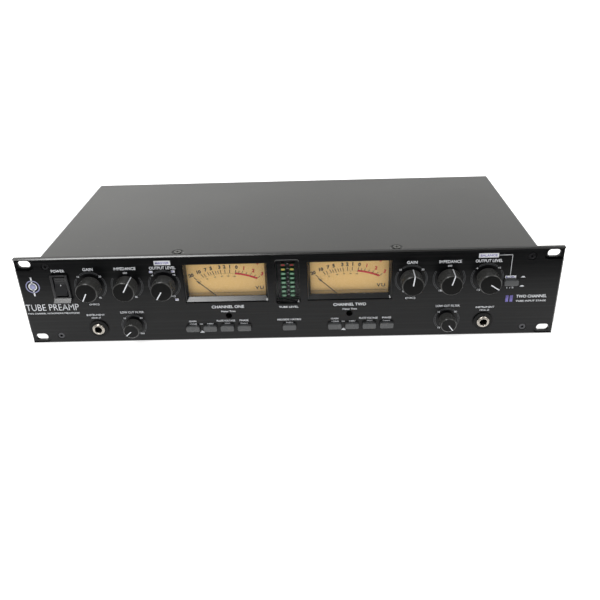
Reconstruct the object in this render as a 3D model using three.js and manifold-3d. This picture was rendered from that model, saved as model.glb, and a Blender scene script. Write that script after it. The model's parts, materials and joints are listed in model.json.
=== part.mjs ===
// A two-channel tube microphone preamplifier for a 19-inch rack, two units high.
// Millimetres. X runs right as seen from the front, Y runs back, Z runs up.
import * as THREE from "three";
import { mergeVertices } from "three/addons/utils/BufferGeometryUtils.js";
import Module from "manifold-3d";

const wasm = await Module();
wasm.setup();

// ---------- Driving dimensions ----------
// Inside the unit, Y is counted from the panel's front face, and the whole unit stands frontY forward.
const frontY = -90;
const gap = 0.3; // clearance between pieces that touch on the real object
const sheet = 1.2; // steel sheet

const panel = { width: 482.6, height: 88.1, thick: 4.5, chamfer: 1.4 };
const rack = { holeX: 232.55, holeZ: [5.95, 82.15], slotWidth: 11.4, slotHeight: 6.9 };
const pocket = { depth: 2, height: 11, innerX: 223.3 }; // flat sunk round each rack slot
const panelScrew = { x: 213.3, z: [8.05, 80.1], headR: 3, headLong: 2, shankR: 1.5, boreR: 3.45, boreDeep: 2.6 };

const shell = { halfWidth: 220, top: 86.6, rear: 189.6, trayHalf: 218.5, trayTop: 84.1 };
const coverScrew = { x: 97, y: 10.5, dimpleR: 5.8, floorR: 3.9, dimpleDeep: 1, shankR: 1.5, headR: 3.3 };

const meter = { x: 55.2, halfWidth: 37.6, low: 40.2, high: 79.25, caseHalf: 40, caseLow: 28.6, caseHigh: 82.5 };
const meterY = { windowFront: 1.2, windowBack: 9.6, needle: 10.1, dial: 10.9, caseFront: 6.3, caseBack: 40 };
// The window's sunk pane, and how far the frame round it slopes in on each side.
const pane = { front: 4.6, back: 6.2, rim: 0.4, slopeSide: 2.4, slopeLow: 3.6, slopeHigh: 1.8 };
const needle = { pivotZ: 31, long: 38.6, restTurn: -46.5, hubR: 1.2, shaftR: 0.6 };
const ledWindow = { halfWidth: 11, low: 37.5, high: 82.3, corner: 2.5 };
const led = { x: 3.9, lowZ: 42.35, pitch: 4.46, rows: 8, width: 4.4, height: 2.4 };

const rocker = { x: -202.8, z: 60, bezelHalfX: 7.75, bezelHalfZ: 12.5, bodyHalfX: 6.6, bodyHalfZ: 11.7 };
const rockerPaddle = { halfX: 5.5, endZ: 9.6, proud: 3.2, pivotY: 3, restTilt: 12 };
const jack = { x: 176.5, z: 15.3, boreR: 3.3, bushR: 4.7, ringR: 6.1, washerR: 9 };
const trimmer = { x: 55, z: 26.2, holeR: 3, rotorR: 1.9 };

const largeKnob = { faceR: 9.7, skirtR: 10, tall: 13.5, cavityR: 7.2, shaftR: 3 };
const smallKnob = { faceR: 7.2, skirtR: 7.5, tall: 11, cavityR: 5.4, shaftR: 2 };
const largePot = { bushR: 4.7, nutR: 6.8, housingR: 8.2, clear: 0.35 };
const smallPot = { bushR: 3.5, nutR: 5, housingR: 8.2, clear: 0.35 };
const potY = { nutFront: -2.3, bushFront: -2.7, housing: 6.3, back: 17.7, shaftEnd: 14.5 };

// Rotary controls: place on the panel and the pointer's rest angle, clockwise from twelve o'clock.
const rotaries = [
  { name: "gain", channel: 1, x: -176.3, z: 60, turn: -152, knob: largeKnob, pot: largePot },
  { name: "impedance", channel: 1, x: -143.5, z: 60, turn: 30, knob: largeKnob, pot: largePot },
  { name: "output", channel: 1, x: -110, z: 60, turn: -148, knob: largeKnob, pot: largePot },
  { name: "low_cut", channel: 1, x: -143.5, z: 17.8, turn: -132, knob: smallKnob, pot: smallPot },
  { name: "gain", channel: 2, x: 109.5, z: 60, turn: 7, knob: largeKnob, pot: largePot },
  { name: "impedance", channel: 2, x: 142.8, z: 60, turn: 15, knob: largeKnob, pot: largePot },
  { name: "output", channel: 2, x: 176.2, z: 60, turn: 124, knob: largeKnob, pot: largePot },
  { name: "low_cut", channel: 2, x: 143.5, z: 17.8, turn: 144, knob: smallKnob, pot: smallPot },
];

// Push buttons, all of one size, in a row under the meters, and one on its own at the right.
const button = { width: 12.4, height: 6.6, corner: 1.6, proud: 3.5, capBack: 7, stemHalf: 1.7, stemEnd: 14 };
const buttonRowZ = 13.8;
const buttons = [
  { name: "gain_boost_button_1", x: -89, z: buttonRowZ },
  { name: "phantom_button_1", x: -73, z: buttonRowZ },
  { name: "plate_voltage_button_1", x: -57.3, z: buttonRowZ },
  { name: "phase_button_1", x: -41.5, z: buttonRowZ },
  { name: "matrix_button", x: 0, z: buttonRowZ },
  { name: "gain_boost_button_2", x: 41.5, z: buttonRowZ },
  { name: "phantom_button_2", x: 57.3, z: buttonRowZ },
  { name: "plate_voltage_button_2", x: 73, z: buttonRowZ },
  { name: "phase_button_2", x: 89, z: buttonRowZ },
  { name: "balance_button", x: 197.5, z: 55.5 },
];

const controlBoard = { left: -190, right: 206, low: 6, high: 80, front: 18, thick: 1.6 };
const mainBoard = { left: -95, right: 205, front: 55, back: 168, low: 8, thick: 1.6 };
const tubePlaces = [40, 112];
const tube = { y: 108, r: 10.8, low: 17.9, high: 70, socketR: 11.5, socketHigh: 17.6 };
const toroid = { x: -150, y: 112, outerR: 42, innerR: 13, low: 1.5, high: 44 };
const xlr = { z: 44, flangeX: 26, flangeZ: 31, flangeThick: 2.4, bodyR: 11.4, bodyFront: 171, cupR: 9.2 };
const xlrPlaces = [
  { name: "xlr_input_1", x: 30, pins: false },
  { name: "xlr_output_1", x: 72, pins: true },
  { name: "xlr_input_2", x: 130, pins: false },
  { name: "xlr_output_2", x: 172, pins: true },
];
const inlet = { x: -178, z: 44, flangeX: 50, flangeZ: 24, thick: 3.6, bodyX: 28, bodyZ: 20, front: 166 };
const inletRecess = { halfX: 12.2, halfZ: 8.2, floor: 176.5, bladeTip: 189 };

// ---------- Shapes ----------
const both = [-1, 1];

// A closed three.js geometry as a manifold solid.
function solid(geometry) {
  const bare = geometry.index ? geometry.toNonIndexed() : geometry.clone();
  bare.deleteAttribute("normal");
  bare.deleteAttribute("uv");
  const merged = mergeVertices(bare, 1e-4);
  const vertProperties = merged.attributes.position.array;
  const triVerts = new Uint32Array(merged.index.array);
  return new wasm.Manifold(new wasm.Mesh({ numProp: 3, vertProperties, triVerts }));
}

function geometryOf(body) {
  const mesh = body.getMesh();
  const geometry = new THREE.BufferGeometry();
  geometry.setAttribute("position", new THREE.BufferAttribute(mesh.vertProperties, 3));
  geometry.setIndex(new THREE.BufferAttribute(mesh.triVerts, 1));
  geometry.computeVertexNormals();
  return geometry;
}

const join = (...pieces) => wasm.Manifold.union(pieces.flat());
const cut = (body, ...tools) => body.subtract(join(...tools));

function box(x0, x1, y0, y1, z0, z1) {
  const block = new THREE.BoxGeometry(x1 - x0, y1 - y0, z1 - z0);
  return solid(block.translate((x0 + x1) / 2, (y0 + y1) / 2, (z0 + z1) / 2));
}

// A cylinder along Y.
function rod(x, z, r, y0, y1, sides = 16) {
  return solid(new THREE.CylinderGeometry(r, r, y1 - y0, sides).translate(x, (y0 + y1) / 2, z));
}

// A cylinder along Z.
function post(x, y, r, z0, z1, sides = 16) {
  const upright = new THREE.CylinderGeometry(r, r, z1 - z0, sides).rotateX(Math.PI / 2);
  return solid(upright.translate(x, y, (z0 + z1) / 2));
}

// A profile of [radius, y] points turned about the Y axis, running from the back to the front.
function turned(profile, sides) {
  const points = profile.map(([r, y]) => new THREE.Vector2(r, y));
  return solid(new THREE.LatheGeometry(points, sides));
}

// A flat outline in X and Z, pushed along Y.
function prismY(shape, y0, y1, curveSegments = 4) {
  const depth = y1 - y0;
  const body = new THREE.ExtrudeGeometry(shape, { depth, bevelEnabled: false, curveSegments });
  return solid(body.rotateX(Math.PI / 2).translate(0, y1, 0));
}

// A flat outline in Y and Z, pushed along X.
function prismX(shape, x0, x1) {
  const body = new THREE.ExtrudeGeometry(shape, { depth: x1 - x0, bevelEnabled: false });
  const turn = new THREE.Matrix4().makeBasis(
    new THREE.Vector3(0, 1, 0),
    new THREE.Vector3(0, 0, 1),
    new THREE.Vector3(1, 0, 0),
  );
  return solid(body.applyMatrix4(turn).translate(x0, 0, 0));
}

// A flat outline in X and Y, pushed along Z.
function prismZ(shape, z0, z1) {
  return solid(new THREE.ExtrudeGeometry(shape, { depth: z1 - z0, bevelEnabled: false }).translate(0, 0, z0));
}

function polygon(points) {
  return new THREE.Shape(points.map(([u, v]) => new THREE.Vector2(u, v)));
}

function roundRect(x, z, width, height, r) {
  const right = x + width / 2 - r;
  const top = z + height / 2 - r;
  const left = x - width / 2 + r;
  const low = z - height / 2 + r;
  const shape = new THREE.Shape();
  shape.absarc(right, top, r, 0, Math.PI / 2);
  shape.absarc(left, top, r, Math.PI / 2, Math.PI);
  shape.absarc(left, low, r, Math.PI, 1.5 * Math.PI);
  shape.absarc(right, low, r, 1.5 * Math.PI, 2 * Math.PI);
  return shape;
}

// ---------- Front panel ----------
// A rectangular plate with its four front edges chamfered.
function panelBlank() {
  const { width, height, thick, chamfer } = panel;
  const half = width / 2;
  const side = polygon([[0, chamfer], [chamfer, 0], [thick, 0], [thick, height], [chamfer, height], [0, height - chamfer]]);
  const plan = polygon([[-half, thick], [-half, chamfer], [chamfer - half, 0], [half - chamfer, 0], [half, chamfer], [half, thick]]);
  return prismX(side, -half, half).intersect(prismZ(plan, 0, height));
}

function rackSlotCuts() {
  const { slotWidth, slotHeight } = rack;
  const pocketLong = panel.width / 2 - pocket.innerX + pocket.height;
  return both.flatMap((side) =>
    rack.holeZ.flatMap((z) => [
      prismY(roundRect(side * rack.holeX, z, slotWidth, slotHeight, slotHeight / 2 - 0.01), -1, panel.thick + 1, 5),
      prismY(
        roundRect(side * (pocket.innerX + pocketLong / 2), z, pocketLong, pocket.height, pocket.height / 2 - 0.01),
        -1,
        pocket.depth,
        5,
      ),
    ]),
  );
}

function screwCuts() {
  return both.flatMap((side) =>
    panelScrew.z.flatMap((z) => [
      rod(side * panelScrew.x, z, panelScrew.shankR + 0.4, -1, panel.thick + 1, 8),
      rod(side * panelScrew.x, z, panelScrew.boreR, -1, panelScrew.boreDeep, 14),
    ]),
  );
}

// Openings that run through both the panel and the sheet behind it.
function controlCuts(y0, y1) {
  const meters = both.map((side) => {
    const middle = side * meter.x;
    return box(middle - meter.halfWidth, middle + meter.halfWidth, y0, y1, meter.low, meter.high);
  });
  const pots = rotaries.map(({ x, z, pot }) => rod(x, z, pot.bushR + gap, y0, y1, 12));
  const keys = buttons.map(({ x, z }) => {
    const { width, height, corner } = button;
    return prismY(roundRect(x, z, width + 2 * gap, height + 2 * gap, corner + gap), y0, y1, 2);
  });
  const jacks = both.map((side) => rod(side * jack.x, jack.z, jack.bushR + gap, y0, y1, 14));
  const trims = both.map((side) => rod(side * trimmer.x, trimmer.z, trimmer.holeR, y0, y1, 16));
  const halfX = rocker.bodyHalfX + gap;
  const halfZ = rocker.bodyHalfZ + gap;
  const mains = box(rocker.x - halfX, rocker.x + halfX, y0, y1, rocker.z - halfZ, rocker.z + halfZ);
  return [...meters, ...pots, ...keys, ...jacks, ...trims, mains];
}

function ledCut(y0, y1, inset) {
  const { halfWidth, low, high, corner } = ledWindow;
  const width = 2 * (halfWidth - inset);
  return prismY(roundRect(0, (low + high) / 2, width, high - low - 2 * inset, corner), y0, y1, 3);
}

function frontPanel() {
  const back = panel.thick + 1;
  return cut(panelBlank(), rackSlotCuts(), screwCuts(), controlCuts(-1, back), ledCut(-1, back, 0));
}

function hexSocketScrew() {
  const { headR, headLong, shankR } = panelScrew;
  const head = rod(0, 0, headR, 0, headLong, 14);
  const shank = rod(0, 0, shankR, headLong - 0.1, 11.6, 8);
  return cut(join(head, shank), rod(0, 0, 1.45, -1, 1.4, 6));
}

// ---------- Chassis and cover ----------
function chassisTray() {
  const { trayHalf, trayTop, rear } = shell;
  const front = panel.thick + gap;
  const folded = cut(
    box(-trayHalf, trayHalf, front, rear, 0, trayTop),
    box(-trayHalf - 1, trayHalf + 1, front + sheet, rear - sheet, sheet, trayTop + 1),
  );
  const lips = [
    box(-trayHalf, trayHalf, front, front + 15, trayTop - sheet, trayTop),
    box(-trayHalf, trayHalf, rear - 12, rear, trayTop - sheet, trayTop),
  ];
  const { left, right, back } = mainBoard;
  const standoffs = [left + 6, 0.5 * (left + right), right - 6].flatMap((x) =>
    [mainBoard.front + 6, back - 6].map((y) => post(x, y, 3, sheet - 0.2, mainBoard.low - gap, 8)),
  );
  const wallBack = front + sheet + 0.1;
  const screwHoles = both.flatMap((side) => [
    ...panelScrew.z.map((z) => rod(side * panelScrew.x, z, panelScrew.shankR + 0.4, 1, wallBack, 8)),
    post(side * coverScrew.x, coverScrew.y, coverScrew.shankR + 0.4, trayTop - 3, trayTop + 1, 8),
  ]);
  const sockets = xlrPlaces.map(({ x }) => rod(x, xlr.z, xlr.bodyR + gap, rear - 3, rear + 1, 20));
  const mains = box(
    inlet.x - inlet.bodyX / 2 - gap,
    inlet.x + inlet.bodyX / 2 + gap,
    rear - 3,
    rear + 1,
    inlet.z - inlet.bodyZ / 2 - gap,
    inlet.z + inlet.bodyZ / 2 + gap,
  );
  return cut(
    join(folded, lips, standoffs),
    controlCuts(1, wallBack),
    ledCut(1, wallBack, 1),
    screwHoles,
    sockets,
    mains,
  );
}

// A folded lid with one pressed dimple for each front screw.
function topCover() {
  const { halfWidth, top, rear } = shell;
  const front = panel.thick + gap;
  const { x, y, dimpleR, floorR, dimpleDeep, shankR } = coverScrew;
  const folded = cut(
    box(-halfWidth, halfWidth, front, rear + 0.1, 0, top),
    box(sheet - halfWidth, halfWidth - sheet, front - 1, rear + 1, -1, top - sheet),
  );
  const cone = (side, z) =>
    solid(
      new THREE.CylinderGeometry(dimpleR, floorR, dimpleDeep, 16)
        .rotateX(Math.PI / 2)
        .translate(side * x, y, z - dimpleDeep / 2),
    );
  const cups = both.map((side) => cone(side, top - sheet + 0.01));
  const sunk = both.map((side) => cone(side, top + 0.01));
  const holes = both.map((side) => post(side * x, y, shankR + 0.4, top - 4, top + 1, 8));
  const overhang = box(-halfWidth, halfWidth, front - 5, front, 0, top + 1);
  return cut(join(folded, cups), sunk, holes, overhang);
}

function crossHeadScrew() {
  const { headR, shankR } = coverScrew;
  const head = post(0, 0, headR, 0, 1.4, 14);
  const shank = post(0, 0, shankR, -7, 0.1, 8);
  return cut(join(head, shank), box(-2, 2, -0.4, 0.4, 0.5, 2), box(-0.4, 0.4, -2, 2, 0.5, 2));
}

// ---------- Rotary controls ----------
// Origin on the panel's front face. The pointer is a fine groove on the face and down the flank.
function knob({ faceR, skirtR, tall, cavityR, shaftR }) {
  const bevel = 0.6;
  const body = turned(
    [
      [0, potY.shaftEnd],
      [shaftR, potY.shaftEnd],
      [shaftR, -4],
      [cavityR, -4],
      [cavityR, -0.5],
      [skirtR, -0.5],
      [faceR, bevel - tall],
      [faceR - bevel, -tall],
      [0, -tall],
    ].reverse(),
    20,
  );
  const groove = 0.45;
  const deep = 0.3;
  return cut(
    body,
    box(-groove, groove, -tall - 1, deep - tall, 0, skirtR + 1),
    box(-groove, groove, -tall - 1, 1, faceR - deep, skirtR + 1),
  );
}

function potentiometer({ bushR, nutR, housingR, clear }, shaftR) {
  const { nutFront, bushFront, housing, back, shaftEnd } = potY;
  const body = join(
    rod(0, 0, bushR, bushFront, housing + 0.1, 12),
    rod(0, 0, nutR, nutFront, -gap, 6),
    rod(0, 0, housingR, housing, back, 12),
    box(-6, 6, housing, back - 2, -housingR - 2.5, 0),
  );
  return cut(body, rod(0, 0, shaftR + clear, bushFront - 1, shaftEnd + 1, 20));
}

// ---------- Push buttons and mains switch ----------
function pushButton() {
  const { width, height, corner, proud, capBack, stemHalf, stemEnd } = button;
  const cap = prismY(roundRect(0, 0, width, height, corner), -proud, capBack, 2);
  return join(cap, box(-stemHalf, stemHalf, capBack - 0.1, stemEnd, -stemHalf, stemHalf));
}

// Origin on the panel's front face at the middle of the switch.
function rockerHousing() {
  const { bezelHalfX, bezelHalfZ, bodyHalfX, bodyHalfZ } = rocker;
  const bezel = box(-bezelHalfX, bezelHalfX, -2.2, -gap, -bezelHalfZ, bezelHalfZ);
  const body = box(-bodyHalfX, bodyHalfX, -gap - 0.1, 22, -bodyHalfZ, bodyHalfZ);
  const wellX = rockerPaddle.halfX + gap;
  const pivot = rod(0, 0, 1.2, -wellX - 0.1, wellX + 0.1, 8).rotate([0, 0, 90]);
  const well = box(-wellX, wellX, -3, 14, -11, 11);
  return join(cut(join(bezel, body), well), pivot.translate([0, rockerPaddle.pivotY, 0]));
}

// The rocking key, with its concave face, at its rest tilt: top pressed in, lower end standing out.
function rockerKey() {
  const { halfX, endZ, proud, pivotY, restTilt } = rockerPaddle;
  const profile = polygon([
    [pivotY + 5, -3],
    [pivotY + 5, 3],
    [pivotY + 1, 8.6],
    [-proud, endZ],
    [-proud + 1.3, endZ * 0.55],
    [-proud + 2, 0],
    [-proud + 1.3, -endZ * 0.55],
    [-proud, -endZ],
    [pivotY + 1, -8.6],
  ]);
  const pinHole = rod(0, 0, 1.5, -halfX - 1, halfX + 1, 8).rotate([0, 0, 90]).translate([0, pivotY, 0]);
  const level = cut(prismX(profile, -halfX, halfX), pinHole);
  return level.translate([0, -pivotY, 0]).rotate([-restTilt, 0, 0]).translate([0, pivotY, 0]);
}

// ---------- Meters ----------
// Origin on the panel's front face, above the middle of the meter's base line.
function meterWindow() {
  const { windowFront, windowBack } = meterY;
  const { front, back, rim, slopeSide, slopeLow, slopeHigh } = pane;
  const x = meter.halfWidth - gap;
  const low = meter.low + gap;
  const high = meter.high - gap;
  const wall = 1.6;
  const mouth = x - rim;
  const side = polygon([
    [windowFront - 0.1, low + rim],
    [front, low + slopeLow],
    [front, high - slopeHigh],
    [windowFront - 0.1, high - rim],
  ]);
  const plan = polygon([
    [-mouth, windowFront - 0.1],
    [mouth, windowFront - 0.1],
    [x - slopeSide, front],
    [slopeSide - x, front],
  ]);
  return cut(
    box(-x, x, windowFront, windowBack, low, high),
    prismX(side, -x, x).intersect(prismZ(plan, low, high)),
    box(wall - x, x - wall, back, windowBack + 1, low + wall, high - wall),
  );
}

function meterCase() {
  const { halfWidth, low, high, caseHalf, caseLow, caseHigh } = meter;
  const { caseFront, caseBack, dial } = meterY;
  const wall = 1;
  const inside = caseHalf - wall;
  const mask = cut(
    box(-inside - 0.5, inside + 0.5, caseFront, caseFront + wall, caseLow, caseHigh),
    box(-halfWidth, halfWidth, caseFront - 1, caseFront + 3, low - 0.1, high + 0.1),
  );
  const tub = cut(
    box(-caseHalf, caseHalf, caseFront, caseBack, caseLow, caseHigh),
    box(-inside, inside, caseFront - 1, caseBack - 1.6, caseLow + wall, caseHigh - wall),
  );
  const movement = box(-13, 13, dial + 1.6, caseBack - 1, caseLow + 0.5, caseLow + 26);
  const bearing = rod(0, needle.pivotZ, needle.shaftR + gap, dial, dial + 14, 8);
  return cut(join(mask, tub, movement), bearing);
}

function meterDial() {
  const half = meter.caseHalf - 1.4;
  const face = box(-half, half, meterY.dial, meterY.dial + 0.9, meter.caseLow + 1.4, meter.caseHigh - 1.4);
  return cut(face, rod(0, needle.pivotZ, needle.shaftR + 0.5, meterY.dial - 1, meterY.dial + 2, 8));
}

// The pointer stands upright about its own pivot; its group turns it to rest.
function meterNeedle() {
  const { long, hubR, shaftR } = needle;
  const thick = 0.4;
  const arm = polygon([[-0.55, 0], [0.55, 0], [0.3, long], [-0.3, long]]);
  return join(
    prismY(arm, meterY.needle, meterY.needle + thick),
    rod(0, 0, hubR, meterY.needle - 0.3, meterY.needle + thick, 10),
    rod(0, 0, shaftR, meterY.needle, meterY.dial + 11, 6),
  );
}

function trimRotor() {
  const { rotorR } = trimmer;
  const disc = rod(0, 0, rotorR, 8.3, 11.9, 12);
  const stem = rod(0, 0, 1, 11.8, 15.9, 6);
  return cut(join(disc, stem), box(-0.35, 0.35, 8, 9.1, -3, 3));
}

function ledLens() {
  return ledCut(0.6, 3.6, gap);
}

// ---------- Circuit boards ----------
// Upright board behind the panel: it carries the switches, the trimmers and the light column.
function controlBoardAssembly() {
  const { left, right, low, high, front, thick } = controlBoard;
  const back = front + thick;
  const blank = box(left, right, front, back, low, high);
  const meterNotches = both.map((side) => {
    const middle = side * meter.x;
    const half = meter.caseHalf + gap;
    return box(middle - half, middle + half, front - 1, back + 1, meter.caseLow - gap, high + 1);
  });
  const jackNotches = both.map((side) =>
    box(side * jack.x - 9, side * jack.x + 9, front - 1, back + 1, low - 1, jack.z + 9),
  );
  const slide = button.stemHalf + gap;
  const switchFront = button.capBack + 3.4;
  const switches = buttons.map(({ x, z }) =>
    cut(
      box(x - 4.2, x + 4.2, switchFront, front + 0.1, z - 4.2, z + 4.2),
      box(x - slide, x + slide, switchFront - 1, front - 0.5, z - slide, z + slide),
    ),
  );
  const trimmers = both.map((side) =>
    cut(
      box(side * trimmer.x - 4.5, side * trimmer.x + 4.5, 12.3, front + 0.1, 23.2, 28.2),
      rod(side * trimmer.x, trimmer.z, 1.3, 12, 16.9, 8),
    ),
  );
  const column = box(-9, 9, 9, front + 0.1, led.lowZ - 3, led.lowZ + (led.rows - 1) * led.pitch + 3);
  const lights = Array.from({ length: led.rows }, (_, row) =>
    both.map((side) => {
      const z = led.lowZ + row * led.pitch;
      const x = side * led.x;
      return box(x - led.width / 2, x + led.width / 2, 6.6, 9.1, z - led.height / 2, z + led.height / 2);
    }),
  ).flat();
  return join(cut(blank, meterNotches, jackNotches), switches, trimmers, column, lights);
}

// Flat board on the chassis floor: tube sockets, reservoir capacitors, coupling capacitors and relays.
function mainBoardAssembly() {
  const { left, right, front, back, low, thick } = mainBoard;
  const top = low + thick;
  const seat = top - 0.1;
  const sockets = tubePlaces.map((x) =>
    cut(
      post(x, tube.y, tube.socketR, seat, tube.socketHigh, 14),
      post(x, tube.y, 4, top + 2, tube.socketHigh + 1, 8),
    ),
  );
  const reservoirs = [0, 1, 2, 3].map((n) => post(left + 18 + 26 * n, back - 22, 10, seat, top + 34, 12));
  const films = tubePlaces.flatMap((x) => [0, 1].map((n) => box(x - 9, x + 9, 66 + 10 * n, 72 + 10 * n, seat, top + 12)));
  const relays = tubePlaces.flatMap((x) => [25, 41].map((d) => box(x + d - 5, x + d + 5, 120, 140, seat, top + 10)));
  const heatSink = cut(
    box(left + 8, left + 34, 66, 96, seat, top + 30),
    [0, 1, 2, 3].map((n) => box(left + 11 + 6 * n, left + 14 + 6 * n, 65, 97, top + 4, top + 31)),
  );
  return join(box(left, right, front, back, low, top), sockets, reservoirs, films, relays, heatSink);
}

// A glass tube standing on its socket, with a domed top and the drawn-off tip.
function vacuumTube() {
  const { r, low, high } = tube;
  const profile = [[0, low], [r - 1, low], [r, low + 1.5], [r, high - 11], [r * 0.82, high - 6], [3, high - 3], [0, high]];
  return turned(profile, 14).rotate([90, 0, 0]);
}

function toroidalTransformer() {
  const { outerR, innerR, low, high } = toroid;
  const round = 5;
  const ring = [
    [innerR, low + round],
    [innerR + round, low],
    [outerR - round, low],
    [outerR, low + round],
    [outerR, high - round],
    [outerR - round, high],
    [innerR + round, high],
    [innerR, high - round],
    [innerR, low + round],
  ];
  const winding = turned(ring, 24).rotate([90, 0, 0]);
  const plate = post(0, 0, 24, high - 0.5, high + 1.5, 20);
  const bolt = post(0, 0, 4, low, high + 5, 8);
  return join(winding, plate, bolt);
}

// ---------- Sockets ----------
// Origin on the panel's front face at the socket's middle.
function instrumentJack() {
  const { boreR, bushR, ringR, washerR } = jack;
  const body = join(
    rod(0, 0, washerR, -1.5, -gap, 20),
    rod(0, 0, ringR, -3.2, -1.4, 18),
    rod(0, 0, bushR, -0.5, 6.4, 14),
    box(-7.4, 7.4, 6.3, 32, -7.4, 7.4),
  );
  return cut(body, rod(0, 0, boreR, -4, 30, 14));
}

const xlrPins = [210, 330, 90].map((degrees) => THREE.MathUtils.degToRad(degrees));

// Origin on the outside of the rear wall at the socket's middle; it faces back.
function xlrSocket(pins) {
  const { flangeX, flangeZ, flangeThick, bodyR, bodyFront, cupR } = xlr;
  const mouth = gap + flangeThick;
  const frame = prismY(roundRect(0, 0, flangeX, flangeZ, 3), gap, mouth, 2);
  const body = join(frame, rod(0, 0, bodyR, bodyFront - shell.rear, gap + 0.1, 20));
  const spot = xlrPins.map((angle) => [4 * Math.cos(angle), 4 * Math.sin(angle)]);
  const fixing = both.map((side) => rod(side * 9.5, side * 12, 1.6, gap - 1, mouth + 1, 8));
  if (pins) {
    const floor = mouth - 14;
    const cup = cut(body, rod(0, 0, cupR, floor, mouth + 1, 20), fixing);
    return join(cup, spot.map(([x, z]) => rod(x, z, 1.2, floor - 0.5, mouth - 4.8, 6)));
  }
  const ring = rod(0, 0, cupR, mouth - 8, mouth + 1, 20).subtract(rod(0, 0, cupR - 1.5, mouth - 9, mouth + 2, 20));
  return cut(body, ring, spot.map(([x, z]) => rod(x, z, 1.4, mouth - 10, mouth + 1, 6)), fixing);
}

function mainsInlet() {
  const { flangeX, flangeZ, thick, bodyX, bodyZ, front } = inlet;
  const rear = shell.rear;
  const mouth = rear + gap + thick;
  const flange = prismY(roundRect(0, 0, flangeX, flangeZ, 6), rear + gap, mouth, 3);
  const body = box(-bodyX / 2, bodyX / 2, front, rear + gap + 0.1, -bodyZ / 2, bodyZ / 2);
  const { halfX, halfZ, floor, bladeTip } = inletRecess;
  const recess = box(-halfX, halfX, floor, mouth + 1, -halfZ, halfZ);
  const fixings = both.map((side) => rod(side * 20, 0, 1.7, rear, mouth + 1, 8));
  const blade = (x, z) => box(x - 1, x + 1, floor - 0.5, bladeTip, z - 2, z + 2);
  return join(cut(join(flange, body), recess, fixings), blade(-7, -1.5), blade(7, -1.5), blade(0, 3));
}

// ---------- The object ----------
const finishes = {
  panelBlack: { color: 0x26272a, roughness: 0.45, metalness: 0.6 },
  coverBlack: { color: 0x2e2f31, roughness: 0.5, metalness: 0.4 },
  plainSteel: { color: 0x8d9094, roughness: 0.4, metalness: 0.9 },
  knobBlack: { color: 0x2a2a28, roughness: 0.55, metalness: 0.1 },
  keyGrey: { color: 0x55575a, roughness: 0.5, metalness: 0.1 },
  darkScrew: { color: 0x1a1a1c, roughness: 0.35, metalness: 0.9 },
  nickel: { color: 0xc9c5bc, roughness: 0.2, metalness: 1 },
  dialCream: { color: 0xd9b57c, roughness: 0.7, metalness: 0 },
  needleBrown: { color: 0x4a3018, roughness: 0.5, metalness: 0.2 },
  clear: { color: 0xf2f5f5, roughness: 0.05, metalness: 0 },
  smoke: { color: 0x1c1d20, roughness: 0.1, metalness: 0 },
  board: { color: 0x1f5a3a, roughness: 0.6, metalness: 0 },
  copper: { color: 0xa86a2c, roughness: 0.45, metalness: 0.3 },
};

const unit = new THREE.Group();
unit.position.y = frontY;

// Adds one named piece at x, y, z in the group that is given.
function add(group, name, body, finish, x = 0, y = 0, z = 0) {
  const mesh = new THREE.Mesh(geometryOf(body), new THREE.MeshStandardMaterial(finishes[finish]));
  mesh.name = name;
  mesh.position.set(x, y, z);
  group.add(mesh);
  return mesh;
}

function addShell() {
  const group = new THREE.Group();
  add(group, "front_panel", frontPanel(), "panelBlack");
  add(group, "chassis_tray", chassisTray(), "plainSteel");
  add(group, "top_cover", topCover(), "coverBlack");
  for (const side of both) {
    const hand = side < 0 ? "left" : "right";
    const height = ["lower", "upper"];
    panelScrew.z.forEach((z, row) => {
      const seat = panelScrew.boreDeep - gap - panelScrew.headLong;
      add(group, `panel_screw_${hand}_${height[row]}`, hexSocketScrew(), "darkScrew", side * panelScrew.x, seat, z);
    });
    const floor = shell.top - coverScrew.dimpleDeep + gap;
    add(group, `cover_screw_${hand}`, crossHeadScrew(), "nickel", side * coverScrew.x, coverScrew.y, floor);
  }
  return group;
}

function addRotaries() {
  const group = new THREE.Group();
  for (const { name, channel, x, z, turn, knob: size, pot } of rotaries) {
    const turning = add(group, `${name}_knob_${channel}`, knob(size), "knobBlack", x, 0, z);
    turning.rotation.y = THREE.MathUtils.degToRad(turn);
    add(group, `${name}_pot_${channel}`, potentiometer(pot, size.shaftR), "plainSteel", x, 0, z);
  }
  return group;
}

function addSwitches() {
  const group = new THREE.Group();
  for (const { name, x, z } of buttons) add(group, name, pushButton(), "keyGrey", x, 0, z);
  add(group, "rocker_housing", rockerHousing(), "knobBlack", rocker.x, 0, rocker.z);
  add(group, "rocker_key", rockerKey(), "knobBlack", rocker.x, 0, rocker.z);
  return group;
}

function addMeter(channel, x) {
  const group = new THREE.Group();
  group.position.x = x;
  add(group, `meter_case_${channel}`, meterCase(), "knobBlack");
  add(group, `meter_dial_${channel}`, meterDial(), "dialCream");
  add(group, `meter_window_${channel}`, meterWindow(), "clear");
  const pointer = add(group, `meter_needle_${channel}`, meterNeedle(), "needleBrown", 0, 0, needle.pivotZ);
  pointer.rotation.y = THREE.MathUtils.degToRad(needle.restTurn);
  return group;
}

function addElectronics() {
  const group = new THREE.Group();
  add(group, "led_window", ledLens(), "smoke");
  add(group, "control_board", controlBoardAssembly(), "board");
  add(group, "main_board", mainBoardAssembly(), "board");
  add(group, "power_transformer", toroidalTransformer(), "copper", toroid.x, toroid.y, 0);
  tubePlaces.forEach((x, n) => add(group, `tube_${n + 1}`, vacuumTube(), "clear", x, tube.y, 0));
  both.forEach((side, n) => {
    add(group, `trim_rotor_${n + 1}`, trimRotor(), "dialCream", side * trimmer.x, 0, trimmer.z);
    add(group, `instrument_jack_${n + 1}`, instrumentJack(), "nickel", side * jack.x, 0, jack.z);
  });
  return group;
}

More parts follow.
